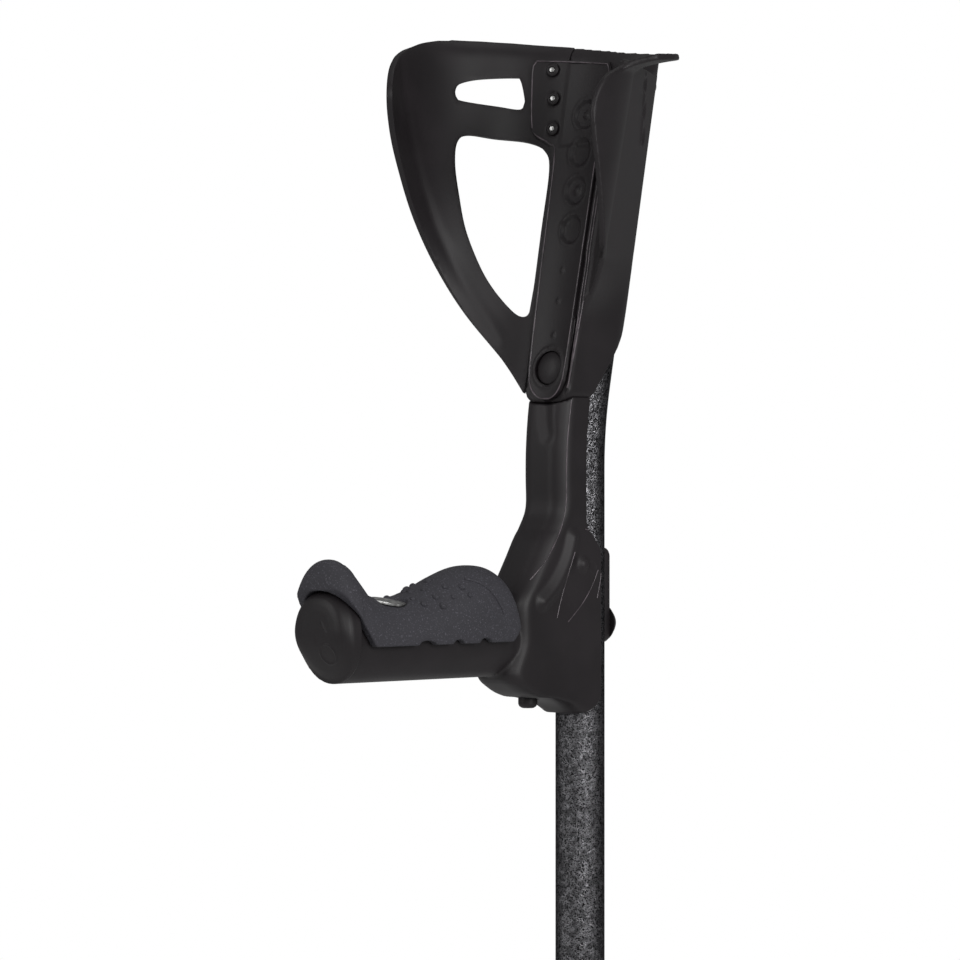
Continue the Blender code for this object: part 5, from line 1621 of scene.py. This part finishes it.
def filled(loops, spacing, extra):
    """Points and faces that fill the first loop round the others, drawn flat."""
    points = [p for loop in loops for p in loop]
    edges = []
    start = 0
    for loop in loops:
        edges += [(start + k, start + (k + 1) % len(loop)) for k in range(len(loop))]
        start += len(loop)
    near = KDTree(len(points))
    for k, p in enumerate(points):
        near.insert((*flat(p), 0.0), k)
    near.balance()

    def clear(p, distance):
        return in_sheet(p, loops) and near.find((*flat(p), 0.0))[2] > distance

    for p in staggered(loops[0], spacing):
        if extra and p[1] > rim_height(p[0]) - LIP_ROWS_H:
            continue
        if clear(p, BORDER_SHARE * spacing):
            points.append(p)
    points += [p for p in extra if clear(p, LIP_BORDER)]
    found = delaunay_2d_cdt([flat(p) for p in points], edges, [], 0, 1e-7)
    spots = [(v.x / UNROLL, v.y) for v in found[0]]
    faces = []
    for face in found[2]:
        middle = tuple(sum(spots[k][axis] for k in face) / len(face) for axis in (0, 1))
        if in_sheet(middle, loops):
            faces.append(face)
    return spots, faces


def curved_sheet(outline, windows, outward, thickness, spacing, relief=None, extra=()):
    """A sheet on the cuff's surface, with windows; relief(angle, z) moves its two faces."""
    loops = [split_loop(loop, spacing) for loop in [outline, *windows]]
    spots, faces = filled(loops, spacing, extra)
    bm = bmesh.new()
    inner = []
    outer = []
    for spot in spots:
        base = cuff_surface(*spot)
        normal = cuff_normal(*spot)
        front, back = relief(*spot) if relief else (0.0, 0.0)
        inner.append(bm.verts.new(base + normal * (outward + front)))
        outer.append(bm.verts.new(base + normal * (outward + thickness + back)))
    border = {}
    for face in faces:
        bm.faces.new([inner[k] for k in reversed(face)])
        bm.faces.new([outer[k] for k in face])
        for a, b in zip(face, face[1:] + face[:1]):
            border[(a, b)] = border.get((a, b), 0) + 1
    for a, b in border:
        if (b, a) not in border:
            bm.faces.new((outer[b], outer[a], inner[a], inner[b]))
    loose = [v for v in bm.verts if not v.link_faces]
    bmesh.ops.delete(bm, geom=loose, context="VERTS")
    return bm


def column_half_w(z):
    return D["tube_r"] + SOCKET_WALL + COLUMN_SWELL * ramp(z, SWELL_LOW, SWELL_HIGH)


def wing_reach(z):
    """The angle of the near wing's free edge at a height."""
    run = curve_through(NEAR_EDGE)
    for (a1, z1), (a2, z2) in zip(run, run[1:]):
        if z1 <= z <= z2:
            return a1 + (a2 - a1) * (z - z1) / (z2 - z1)
    return run[0][0] if z < run[0][1] else run[-1][0]


def root_angle(z):
    """The angle at which the far wing meets the column."""
    return -math.degrees(math.asin((column_half_w(z) + 0.1 * MM) / cuff_radius(z)))


def evenly(points, count):
    """A run of points, spread evenly again."""
    lengths = [0.0]
    for a, b in zip(points, points[1:]):
        lengths.append(lengths[-1] + (b - a).length)
    spread = []
    k = 0
    for i in range(count):
        at = lengths[-1] * i / (count - 1)
        while k < len(points) - 2 and lengths[k + 1] < at:
            k += 1
        t = (at - lengths[k]) / max(1e-9, lengths[k + 1] - lengths[k])
        spread.append(points[k].lerp(points[k + 1], min(1.0, t)))
    return spread


def arc(centre, radius, start, end, steps):
    """Points round a centre; angles run from +Y toward +X."""
    return [centre + radius * Vector((math.sin(a), math.cos(a)))
            for a in (start + (end - start) * k / steps for k in range(steps + 1))]


def body_section(z):
    """Column and wing root at a height."""
    skin = 0.4 * MM
    half_w = column_half_w(z)
    inner_r = cuff_radius(z) + skin
    outer_r = cuff_radius(z) + size("shell_t") - skin
    centre = Vector((0.0, cuff_centre_y(z)))
    axis = Vector((0.0, tilted_y(z)))
    side = math.asin(half_w / inner_r)
    reach = math.radians(wing_reach(z) - 1.5)
    reach = side + (reach - side) * ramp(z, WING_END, WING_LOW)
    inner = arc(centre, inner_r, reach, -side, 31)
    spacing = (axis - centre).length
    leave = math.pi / 2 - math.asin((outer_r - half_w) / spacing)
    if reach > leave:
        wing = arc(centre, outer_r, leave, reach, 16)
    else:
        tip = centre + outer_r * Vector((math.sin(reach), math.cos(reach)))
        away = tip - axis
        leave = math.atan2(away.x, away.y) - math.acos(min(1.0, half_w / away.length))
        wing = [tip]
    round_back = arc(axis, half_w, -math.pi / 2, leave, 36)
    return [Vector((p.x, p.y, z)) for p in inner + evenly(round_back + wing, 72)]


def hem_cutter():
    """What slopes the column's lower end up toward its back."""
    start = tilted_y(CUFF_BOTTOM) - HEM_FLAT
    low = Vector((0.0, start - 2 * MM, CUFF_BOTTOM - 2 * MM * HEM_SLOPE))
    run = 40.0 * MM
    section = [low, low + Vector((0, run, 0)), low + Vector((0, run, run * HEM_SLOPE))]
    return loft([[p + Vector((x, 0, 0)) for p in section] for x in (-30 * MM, 30 * MM)])


def hem_corners():
    """What rounds off the two lower corners of the column's front."""
    wide = 20 * MM
    rim = hem_line()
    right = [Vector((wide, 0, HEM_ROUND_H)), *rim[:HEM_STEPS + 1],
             Vector((rim[HEM_STEPS].x, 0, -MM)), Vector((wide, 0, -MM))]
    left = [Vector((-p.x, 0, p.z)) for p in right]
    return [front_block(outline, HEM_FRONT, -4 * MM) for outline in (right, left)]


def column_section(z):
    """The column alone, flat in front and round at the back."""
    axis = Vector((0.0, tilted_y(z), z))
    front = -CUFF_SETBACK + 0.6 * MM
    w = column_half_w(z) - 0.15 * MM
    back = arc(Vector((0.0, 0.0)), w, math.pi / 2, -math.pi / 2, 36)
    return [axis + Vector((x, y, 0)) for x, y in [(-w, front), (w, front), *back]]


def front_hole(z, radius, near, far):
    return turned(rod_profile(radius, near, far), 40, before_cuff(z))


def square_to_cuff(angle, z):
    return facing(cuff_surface(angle, z), cuff_normal(angle, z))


def stud_hole(angle, z):
    reach = 8 * MM
    return turned(rod_profile(STUD_D / 2 + HOLE_SLACK, -reach, reach), 24,
                  square_to_cuff(angle, z))


# The near wing's outer face, in the photograph's pixels
WING_FOLD = [(646, 76), (643, 110), (641, 140)]
WING_DENTS = [(645, 85), (644, 111), (643, 137)]


def shoulder(verts, normals):
    """Fills the recess on the near wing's inner face beside the strip."""
    z = verts[:, 2]
    centre = np.array([cuff_centre_y(h) for h in z])
    x = verts[:, 0]
    y = verts[:, 1] - centre
    angle = np.degrees(np.arctan2(x, y))
    reach = np.hypot(x, y)
    inward = -(normals[:, 0] * x + normals[:, 1] * y) / reach
    share = soft(angle, *SHOULDER_NEAR) * (1.0 - soft(angle, *SHOULDER_FAR))
    share *= soft(z, *SHOULDER_FOOT) * (1.0 - soft(z, *SHOULDER_HEAD))
    return SHOULDER_H * share * soft(inward, 0.3, 0.8)


def cuff_body():
    """The near wing, the column round the tube and the flange behind the far wing's root."""
    heights = [cuff_height(149.0 * k / 50) for k in range(51)]
    shell = finish(loft([body_section(z) for z in heights]), "cuff_body")
    edge = curve_through(NEAR_EDGE, 6)
    top = [(float(angle), rim_height(angle)) for angle in range(66, -14, -4)]
    end = root_angle(CUFF_TOP) + 0.15
    top += [(end, rim_height(end)), (end, CUFF_TOP - 17 * MM), (-14.0, CUFF_TOP - 19 * MM)]
    sheet = [(-14.0, CUFF_BOTTOM + 2 * MM), (14.0, CUFF_BOTTOM + 2 * MM), (14.0, WING_LOW),
             *edge, *top]
    flange = [(-12.0, FLANGE_BOTTOM), (FLANGE_LEFT + 3.0, FLANGE_BOTTOM),
              (FLANGE_LEFT, FLANGE_BOTTOM + 3 * MM), (FLANGE_LEFT, CUFF_TOP - 6 * MM),
              (FLANGE_LEFT + 3.0, CUFF_TOP - 3 * MM), (-12.0, CUFF_TOP - 3 * MM)]
    collar = [column_section(z) for z in (cuff_height(102.0), COLUMN_TOP)]
    join(shell, curved_sheet(sheet, [], 0.0, size("shell_t"), 1.6 * MM,
                             extra=lip_points(end + 1.0, LIP_DROP[1])), loft(collar),
         curved_sheet(flange, [], size("hoop_t") + 2 * GAP, size("hoop_t"), 3.0 * MM))
    button = CUFF_BUTTON_D / 2 + GAP
    cut(shell, tube_solid(D["tube_r"] + TUBE_SLACK, CUFF_BOTTOM - 10 * MM, CUFF_TOP + 10 * MM),
        hem_cutter(), *hem_corners(),
        front_hole(CUFF_BUTTON_Z, button, D["button_floor"], 40 * MM),
        front_hole(CUFF_BUTTON_Z, CUFF_PEG_D / 2 + GAP, 0.0, 40 * MM))
    moulded(shell, size("voxel") * SHELL_GRAIN, 22)
    kept_in_box(shell)
    tree = tree_of(shell)
    raised(shell, [ridge(seen_line(tree, WING_FOLD), 3.0 * MM, 0.6 * MM), shoulder,
                   *(dome(seen(tree, *spot), 4.8 * MM, -1.1 * MM, 0.5) for spot in WING_DENTS)])
    return smooth_shaded(shell)


def kept_in_box(shell):
    """Eases the lip's tip back to the side of the frame's box."""
    reach = 2.2 * MM
    verts = points_of(shell.data)
    over = np.maximum(verts[:, 0] - (CAD_BOX[1].x - reach), 0.0)
    verts[:, 0] += reach * (1.0 - np.exp(-over / reach)) - over
    place_points(shell.data, verts)


HOOP_CREASE = [(-118.0, 163.0), (-108.0, 138.0), (-101.0, 118.0), (-92.0, 98.0), (-80.0, 78.0),
               (-65.0, 59.0), (-50.0, 42.0), (-36.0, 28.0)]


def hoop_relief(angle, z):
    """The hoop's face is crowned between its edges, with a soft crease near the free edge."""
    line = on_cuff(HOOP_CREASE)
    best = 1e9
    here = flat((angle, z))
    for a, b in zip(line, line[1:]):
        p, q = flat(a), flat(b)
        run = q - p
        t = max(0.0, min(1.0, (here - p).dot(run) / run.length_squared))
        best = min(best, (here - p - run * t).length)
    dip = 0.55 * MM * (1.0 - ramp(best, 0.0, 4.5 * MM))
    return dip, dip * 0.4


def far_wing():
    edge = curve_through(FAR_EDGE, 8)
    corner = root_angle(CUFF_TOP)
    rim = [(angle, rim_height(angle)) for angle in (-68.0, -57.0, -46.0, -36.0, -27.0)]
    heights = [cuff_height(h) for h in (147.0, 122.0, 92.0, 62.0, 47.0, 32.0, 14.0, 7.0)]
    root = [*rim, (corner, rim_height(corner)), *((root_angle(z), z) for z in heights)]
    windows = [closed_curve(LARGE_WINDOW, 6), closed_curve(SMALL_WINDOW, 6)]
    hoop = finish(curved_sheet([*edge, *root], windows, 0.0, size("hoop_t"), 2.0 * MM,
                               hoop_relief), "far_wing", 50)
    for place in STUDS:
        hoop = cut(hoop, stud_hole(*place))
    return rounded_edges(hoop, 0.6 * MM, 3, 50.0)


def strip_relief(angle, z):
    """Pockets, hubs, dots and the step beside the stud panel, on the strip's front face."""
    x = math.radians(angle) * cuff_radius(z)
    rise = 0.0
    for k, height in enumerate(POCKET_HEIGHTS):
        centre = height + CUFF_SETBACK * math.sin(D["tilt"])
        r = math.hypot(x - (1.0 + 0.6 * (3 - k)) * MM * 0.8, z - centre)
        rise -= 0.25 * MM * (1.0 - ramp(abs(r - POCKET_D / 2 - 0.7 * MM), 0.2 * MM, 0.9 * MM))
        rise += 1.05 * MM * (1.0 - ramp(r, POCKET_D / 2 - 1.2 * MM, POCKET_D / 2))
        if k in (1, 3):
            rise -= 0.8 * MM * (1.0 - ramp(r, 1.4 * MM, 2.4 * MM))
    for height in STRIP_DOTS:
        r = math.hypot(x, z - height)
        rise -= 0.45 * MM * (1.0 - ramp(r, 0.5 * MM, 1.5 * MM))
    r = math.hypot(x, z - CUFF_BUTTON_Z - CUFF_SETBACK * math.sin(D["tilt"]))
    rise -= 0.5 * MM * (1.0 - ramp(abs(r - CUFF_BUTTON_D / 2 - 1.4 * MM), 0.3 * MM, 1.3 * MM))
    if z > cuff_height(116.0):
        rise += 0.5 * MM * ramp(angle, -14.6, -13.2)
    for stud_angle, stud_z in STUDS:
        r = math.hypot(math.radians(angle - stud_angle) * cuff_radius(z), z - stud_z)
        rise += 0.5 * MM * (1.0 - ramp(r, STUD_HEAD_D / 2, STUD_HEAD_D / 2 + 0.9 * MM))
    return rise, 0.0


def inner_strip():
    outline = [*STRIP_LEFT, *STRIP_RIGHT]
    t = size("strip_t")
    strip = finish(curved_sheet(outline, [], -t - GAP, t, 0.95 * MM, strip_relief), "inner_strip", 60)
    cut(strip, *(stud_hole(*place) for place in STUDS),
        front_hole(CUFF_BUTTON_Z, CUFF_BUTTON_D / 2 + GAP, D["tube_r"], 40 * MM))
    return rounded_edges(strip, 0.3 * MM, 2, 60.0)


def stud(number):
    front = -size("strip_t") - 2 * GAP
    back = 2 * size("hoop_t") + 3 * GAP
    r = STUD_D / 2
    head = STUD_HEAD_D / 2
    tail = STUD_D * 0.85
    face = front - STUD_HEAD_T
    profile = [(0.0, back + 1.2 * MM), (tail - 0.5 * MM, back + 1.2 * MM), (tail, back + 0.5 * MM),
               (tail, back), (r, back), (r, front), (head, front), (head, face + 0.45 * MM),
               (head - 0.7 * MM, face), (1.5 * MM, face), (1.35 * MM, face + 0.5 * MM),
               (0.0, face + 0.5 * MM)]
    place = square_to_cuff(*STUDS[number])
    return finish(turned(eased(profile, 0.2 * MM, 2), 48, place), f"stud_{number + 1}")


def stud_core(number):
    """The bright flat end of a stud's pin."""
    face = -size("strip_t") - 2 * GAP - STUD_HEAD_T
    profile = rod_profile(1.15 * MM, face + 0.15 * MM, face + 0.8 * MM)
    place = square_to_cuff(*STUDS[number])
    return finish(turned(eased(profile, 0.15 * MM, 2), 32, place), f"stud_core_{number + 1}")


def on_cuff_face(tree, angle, z):
    """The place on a piece reached from the middle of the cuff at an angle."""
    a = math.radians(angle)
    middle = Vector((0.0, cuff_centre_y(z), z))
    return tree.ray_cast(middle, Vector((math.sin(a), math.cos(a), 0.0)))[0]


def inset_outline(points, inset):
    """A closed outline moved inward on the cuff."""
    rim = [(math.radians(a) * cuff_radius(z), z) for a, z in points]
    count = len(rim)
    moved = []
    for k in range(count):
        before, here, after = rim[k - 1], rim[k], rim[(k + 1) % count]
        along = Vector((after[0] - before[0], after[1] - before[1])).normalized()
        x = here[0] + along.y * inset
        z = here[1] - along.x * inset
        moved.append((math.degrees(x / cuff_radius(z)), z))
    return moved


def cuff_lines(body, strip):
    """The bead inside the strip's border and the two beside it on the near wing's root."""
    front = tree_of(strip)
    back = tree_of(body)
    outline = closed_curve([*STRIP_LEFT, *STRIP_RIGHT], 3)
    area = sum(a[0] * b[1] - b[0] * a[1] for a, b in zip(outline, outline[1:] + outline[:1]))
    border = inset_outline(outline, 0.8 * MM if area < 0 else -0.8 * MM)
    loop = [on_cuff_face(front, *p) for p in border]
    loop = [p for p in loop if p is not None]
    lines = [[*loop, loop[0]]]
    for k in (0.3, 1.9):
        run = [(20.5 + 2.2 * k, drawn) for drawn in (98.0, 82.0, 62.0, 42.0, 28.0)]
        run += [(19.0 + 1.3 * k, 14.0), (16.8 + 0.6 * k, 6.5)]
        found = [on_cuff_face(back, *p) for p in curve_through(on_cuff(run), 6)]
        lines.append([p for p in found if p is not None])
    # These lines are painted pale as a painted highlight.
    return beads("cuff_lines", lines, 0.3 * MM, "polished_edge")


def rear_screw():
    seat = column_half_w(CUFF_SCREW_Z) + GAP
    r = CUFF_SCREW_D / 2
    head = CUFF_SCREW_HEAD_D / 2
    tall = CUFF_SCREW_HEAD_T
    key = 1.3 * MM
    profile = [(0.0, seat + tall - 1.4 * MM), (key, seat + tall - 1.4 * MM), (key, seat + tall * 0.97),
               (head * 0.6, seat + tall * 0.9), (head * 0.88, seat + tall * 0.68),
               (head, seat + tall * 0.4), (head, seat), (r, seat), (r, CUFF_SCREW_TIP),
               (0.0, CUFF_SCREW_TIP)]
    place = behind_cuff(CUFF_SCREW_Z)
    return finish(turned(eased(profile, 0.25 * MM), 48, place), "rear_screw")


def cuff_press_button():
    tip = CUFF_SETBACK + size("strip_t") + 1.6 * MM
    back = D["button_floor"] + CUFF_BUTTON_TRAVEL + COIL_ROOM
    r = CUFF_BUTTON_D / 2
    peg = CUFF_PEG_D / 2
    bore = D["tube_r"]
    profile = [(0.0, tip)]
    for share in (0.2, 0.38, 0.55, 0.7, 0.82, 0.92):
        profile.append((r * share, tip - 2.0 * MM * share ** 2.6))
    profile += [(r, tip - 2.2 * MM), (r, back), (peg, back), (peg, bore - 3.0 * MM),
                (peg - 0.8 * MM, bore - 4.0 * MM), (0.0, bore - 4.0 * MM)]
    button = finish(turned(profile, 64, before_cuff(CUFF_BUTTON_Z)), "cuff_press_button")
    step = [on_tilted_axis(CUFF_BUTTON_Z, tip) + Vector((x * MM, 0, z * MM))
            for x, z in ((-4.6, 1.6), (-2.4, 2.6), (0.0, 2.9), (2.4, 2.6), (4.6, 1.6))]
    moulded(button, 0.4 * MM, 6)
    raised(button, [ridge(step, 0.8 * MM, 0.35 * MM)])
    return smooth_shaded(button)


def coil():
    """The coil behind the cuff's button."""
    wire = 0.45 * MM
    radius = 5.0 * MM
    low = D["button_floor"] + GAP + wire
    high = D["button_floor"] + CUFF_BUTTON_TRAVEL + COIL_ROOM - GAP - wire
    turns = 3
    steps = 32
    place = before_cuff(CUFF_BUTTON_Z)
    rings = []
    for k in range(turns * steps + 1):
        a = 2 * math.pi * k / steps
        out = Vector((math.cos(a), math.sin(a), 0.0))
        middle = out * radius + Vector((0, 0, low + (high - low) * k / (turns * steps)))
        rings.append([place @ (middle + out * wire * math.cos(b) + Vector((0, 0, wire * math.sin(b))))
                      for b in (2 * math.pi * i / 10 for i in range(10))])
    return finish(loft(rings), "coil")


# Stage

FLOOR_HALF = 3.2
FLOOR_DROP = -0.5 * MM
FLOOR_WHITE = 0.55
FLOOR_FADE = (0.3, 2.4)
WHITE = (1.0, 1.0, 1.0, 1.0)
SURROUND_DIFFUSE = 0.52
SURROUND_GLOSSY = 0.22

# Name, place, aim, width and height, watts
LAMPS = [
    ("key", (1.60, -1.56, 1.80), (0.0, 0.0, 0.9), (0.7, 0.8), 13.8),
    ("right", (1.09, -0.134, 1.14), (0.0, 0.0, 1.08), (0.22, 0.54), 6.5),
    ("left", (-0.9, -2.1, 1.7), (0.0, 0.0, 0.95), (1.0, 1.6), 15.0),
    ("above", (0.2, 0.3, 3.0), (0.0, 0.0, 0.9), (1.2, 1.2), 5.0),
]


def studio_floor():
    """A pale floor that the camera sees fade to white."""
    corners = ((-FLOOR_HALF, -FLOOR_HALF), (FLOOR_HALF, -FLOOR_HALF), (FLOOR_HALF, FLOOR_HALF),
               (-FLOOR_HALF, FLOOR_HALF))
    bm = bmesh.new()
    bm.faces.new([bm.verts.new((x, y, FLOOR_DROP)) for x, y in corners])
    ground = finish(bm, "floor")
    f = Finish("studio_floor")
    cloud = f.noise(3.0, 2.0)
    tone = colour("floor")
    f.feed(Base_Color=tinted(f.tree, cloud, scaled(tone, 0.98), scaled(tone, 1.02)), Roughness=0.9)
    away = Shade.node(f.tree, "ShaderNodeVectorMath", out=1, settings={"operation": "LENGTH"},
                      i0=f.place)
    camera_ray = Shade.node(f.tree, "ShaderNodeLightPath")
    white = Shade.node(f.tree, "ShaderNodeEmission", Color=WHITE, Strength=1.0)
    share = camera_ray * (FLOOR_WHITE + (1.0 - FLOOR_WHITE) * away.smooth(*FLOOR_FADE))
    mixed = Shade.node(f.tree, "ShaderNodeMixShader", i0=share,
                       i1=Shade(f.tree, f.shader.outputs["BSDF"]), i2=white)
    f.tree.links.new(mixed.socket, f.tree.nodes["Material Output"].inputs["Surface"])
    ground.data.materials.append(f.material)
    return ground


def surround(scene):
    """A world that is white to the camera and dimmer as a light."""
    world = bpy.data.worlds.new("studio")
    scene.world = world
    world.use_nodes = True
    tree = world.node_tree
    tree.nodes.clear()
    path = tree.nodes.new("ShaderNodeLightPath")
    camera_ray = Shade(tree, path.outputs["Is Camera Ray"])
    through = Shade(tree, path.outputs["Is Transmission Ray"])
    glossy = Shade(tree, path.outputs["Is Glossy Ray"])
    clear = camera_ray.maths("MAXIMUM", camera_ray, through)
    dim = SURROUND_DIFFUSE - glossy * (SURROUND_DIFFUSE - SURROUND_GLOSSY)
    lit = Shade.node(tree, "ShaderNodeBackground", Color=WHITE,
                     Strength=clear.maths("MAXIMUM", clear, dim))
    tree.links.new(lit.socket, tree.nodes.new("ShaderNodeOutputWorld").inputs["Surface"])


def soft_lamp(scene, name, place, aim, width, power):
    lamp = bpy.data.lights.new(name, "AREA")
    lamp.shape = "RECTANGLE"
    lamp.size, lamp.size_y = width
    lamp.energy = power
    thing = bpy.data.objects.new(name, lamp)
    thing.location = place
    thing.rotation_euler = (Vector(aim) - Vector(place)).to_track_quat("-Z", "Y").to_euler()
    thing.visible_camera = False
    scene.collection.objects.link(thing)


def photograph_camera(scene):
    lens = bpy.data.cameras.new("view")
    lens.lens = VIEW_LENS
    lens.sensor_width = VIEW_SENSOR
    camera = bpy.data.objects.new("view", lens)
    camera.location = EYE
    camera.rotation_euler = BACKWARD.to_track_quat("Z", "Y").to_euler()
    scene.collection.objects.link(camera)
    scene.camera = camera


# Operators

class CRUTCH_OT_tubes(bpy.types.Operator):
    """Make the bent tube, its hole rims, plug and bush"""
    bl_idname = "crutch.tubes"
    bl_label = "Painted tube"

    def execute(self, context):
        D.update(derived())
        fitted(painted_tube(), "upper", "hammered_paint", "upper_tube")
        fitted(hole_rims(), "upper", "hammered_paint")
        fitted(plug(), "upper", "black_plastic", "tube_top_plug")
        fitted(bush(), "upper", "grey_nylon", "guide_bush")
        return {"FINISHED"}


class CRUTCH_OT_leg(bpy.types.Operator):
    """Make the sliding leg, its button, spring and foot"""
    bl_idname = "crutch.leg"
    bl_label = "Leg and foot"

    def execute(self, context):
        D.update(derived())
        fitted(leg(), "leg", "leg_aluminium", "leg_tube")
        fitted(press_button(), "leg_button", "zinc_steel", "leg_button")
        leaf = fitted(leaf_spring(), "leg", "zinc_steel", "leg_button_spring")
        touch, front = leaf_reach()
        1.0 - LEG_BUTTON_TRAVEL / (touch - front)
        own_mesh(leaf)
        fitted(foot(), "leg", "black_rubber", "ferrule")
        fitted(disc(), "leg", "zinc_steel", "ferrule_disc")
        return {"FINISHED"}


class CRUTCH_OT_handle(bpy.types.Operator):
    """Make the handle's moulding and its fastenings"""
    bl_idname = "crutch.handle"
    bl_label = "Handle body"

    def execute(self, context):
        D.update(derived())
        body = fitted(handle_body(), "upper", "black_plastic", "handle_frame")
        # Raised lines with the painted highlight finish
        fitted(handle_lines(body), "upper", "black_plastic", look="polished_edge")
        fitted(saddle_plate(), "upper", "black_plastic", "rear_saddle")
        fitted(dome_cap(), "upper", "black_plastic", "bolt_cap")
        fitted(pan_screw(), "upper", "black_plastic", "grip_screw")
        for node in ("handle_bolt", "handle_nut"):
            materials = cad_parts[node].data.materials
            materials.clear()
            materials.append(finish_named("zinc_steel"))
        return {"FINISHED"}


class CRUTCH_OT_grip(bpy.types.Operator):
    """Make the palm pad, its nubs and rib, the badge and the end cap"""
    bl_idname = "crutch.grip"
    bl_label = "Grip"

    def execute(self, context):
        D.update(derived())
        pad = fitted(palm_pad(), "upper", "grey_rubber", "grip_pad")
        fitted(pad_nubs(pad), "upper", "grey_rubber")
        fitted(pad_arc(pad), "upper", "grey_rubber")
        fitted(badge(), "upper", "badge_metal", "grip_badge")
        fitted(end_cap(), "upper", "black_plastic", "grip_end_cap")
        return {"FINISHED"}


class CRUTCH_OT_cuff(bpy.types.Operator):
    """Make the cuff's body, far wing, strip, studs and screw"""
    bl_idname = "crutch.cuff"
    bl_label = "Cuff"

    def execute(self, context):
        D.update(derived())
        body = fitted(cuff_body(), "upper", "black_plastic", "cuff_shell")
        fitted(far_wing(), "upper", "black_plastic", "cuff_hoop")
        strip = fitted(inner_strip(), "upper", "black_plastic", "spine_strip")
        # Raised lines with the painted highlight finish
        fitted(cuff_lines(body, strip), "upper", "black_plastic", look="polished_edge")
        for number in range(len(STUDS)):
            fitted(stud(number), "upper", "black_plastic", f"hoop_stud_{number + 1}")
            fitted(stud_core(number), "upper", "zinc_steel")
        fitted(rear_screw(), "upper", "zinc_steel", "cuff_screw")
        return {"FINISHED"}


class CRUTCH_OT_cuff_button(bpy.types.Operator):
    """Make the cuff's press button and coil"""
    bl_idname = "crutch.cuff_button"
    bl_label = "Cuff button"

    def execute(self, context):
        D.update(derived())
        fitted(cuff_press_button(), "cuff_button", "black_plastic", "cuff_button")
        spring = fitted(coil(), "upper", "zinc_steel", "cuff_button_spring")
        tuple(on_tilted_axis(CUFF_BUTTON_Z, D["button_floor"] + GAP))
        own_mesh(spring)
        return {"FINISHED"}


class CRUTCH_OT_stage(bpy.types.Operator):
    """Make the floor, surround, lamps and camera"""
    bl_idname = "crutch.stage"
    bl_label = "Stage"

    def execute(self, context):
        studio_floor()
        surround(context.scene)
        for lamp in LAMPS:
            soft_lamp(context.scene, *lamp)
        photograph_camera(context.scene)
        context.scene.view_settings.view_transform = "Standard"
        return {"FINISHED"}


STEPS = [CRUTCH_OT_tubes, CRUTCH_OT_leg, CRUTCH_OT_handle, CRUTCH_OT_grip, CRUTCH_OT_cuff,
         CRUTCH_OT_cuff_button, CRUTCH_OT_stage]


class CRUTCH_PT_panel(bpy.types.Panel):
    """The crutch's sizes, colours and steps"""
    bl_idname = "CRUTCH_PT_panel"
    bl_label = "Forearm crutch"
    bl_space_type = "VIEW_3D"
    bl_region_type = "UI"
    bl_category = "Crutch"

    def draw(self, context):
        column = self.layout.column()
        for group in (context.scene.crutch_sizes, context.scene.crutch_colours):
            for name in group.__class__.__annotations__:
                column.prop(group, name)
        for step in STEPS:
            column.operator(step.bl_idname)


CLASSES = [CrutchSizes, CrutchColours, *STEPS, CRUTCH_PT_panel]


def register():
    for item in CLASSES:
        bpy.utils.register_class(item)
    bpy.types.Scene.crutch_sizes = PointerProperty(type=CrutchSizes)
    bpy.types.Scene.crutch_colours = PointerProperty(type=CrutchColours)


def unregister():
    del bpy.types.Scene.crutch_colours
    del bpy.types.Scene.crutch_sizes
    for item in reversed(CLASSES):
        bpy.utils.unregister_class(item)


def main():
    register()
    bpy.ops.crutch.tubes()
    bpy.ops.crutch.leg()
    bpy.ops.crutch.handle()
    bpy.ops.crutch.grip()
    bpy.ops.crutch.cuff()
    bpy.ops.crutch.cuff_button()
    bpy.ops.crutch.stage()


if __name__ == "__main__":
    main()
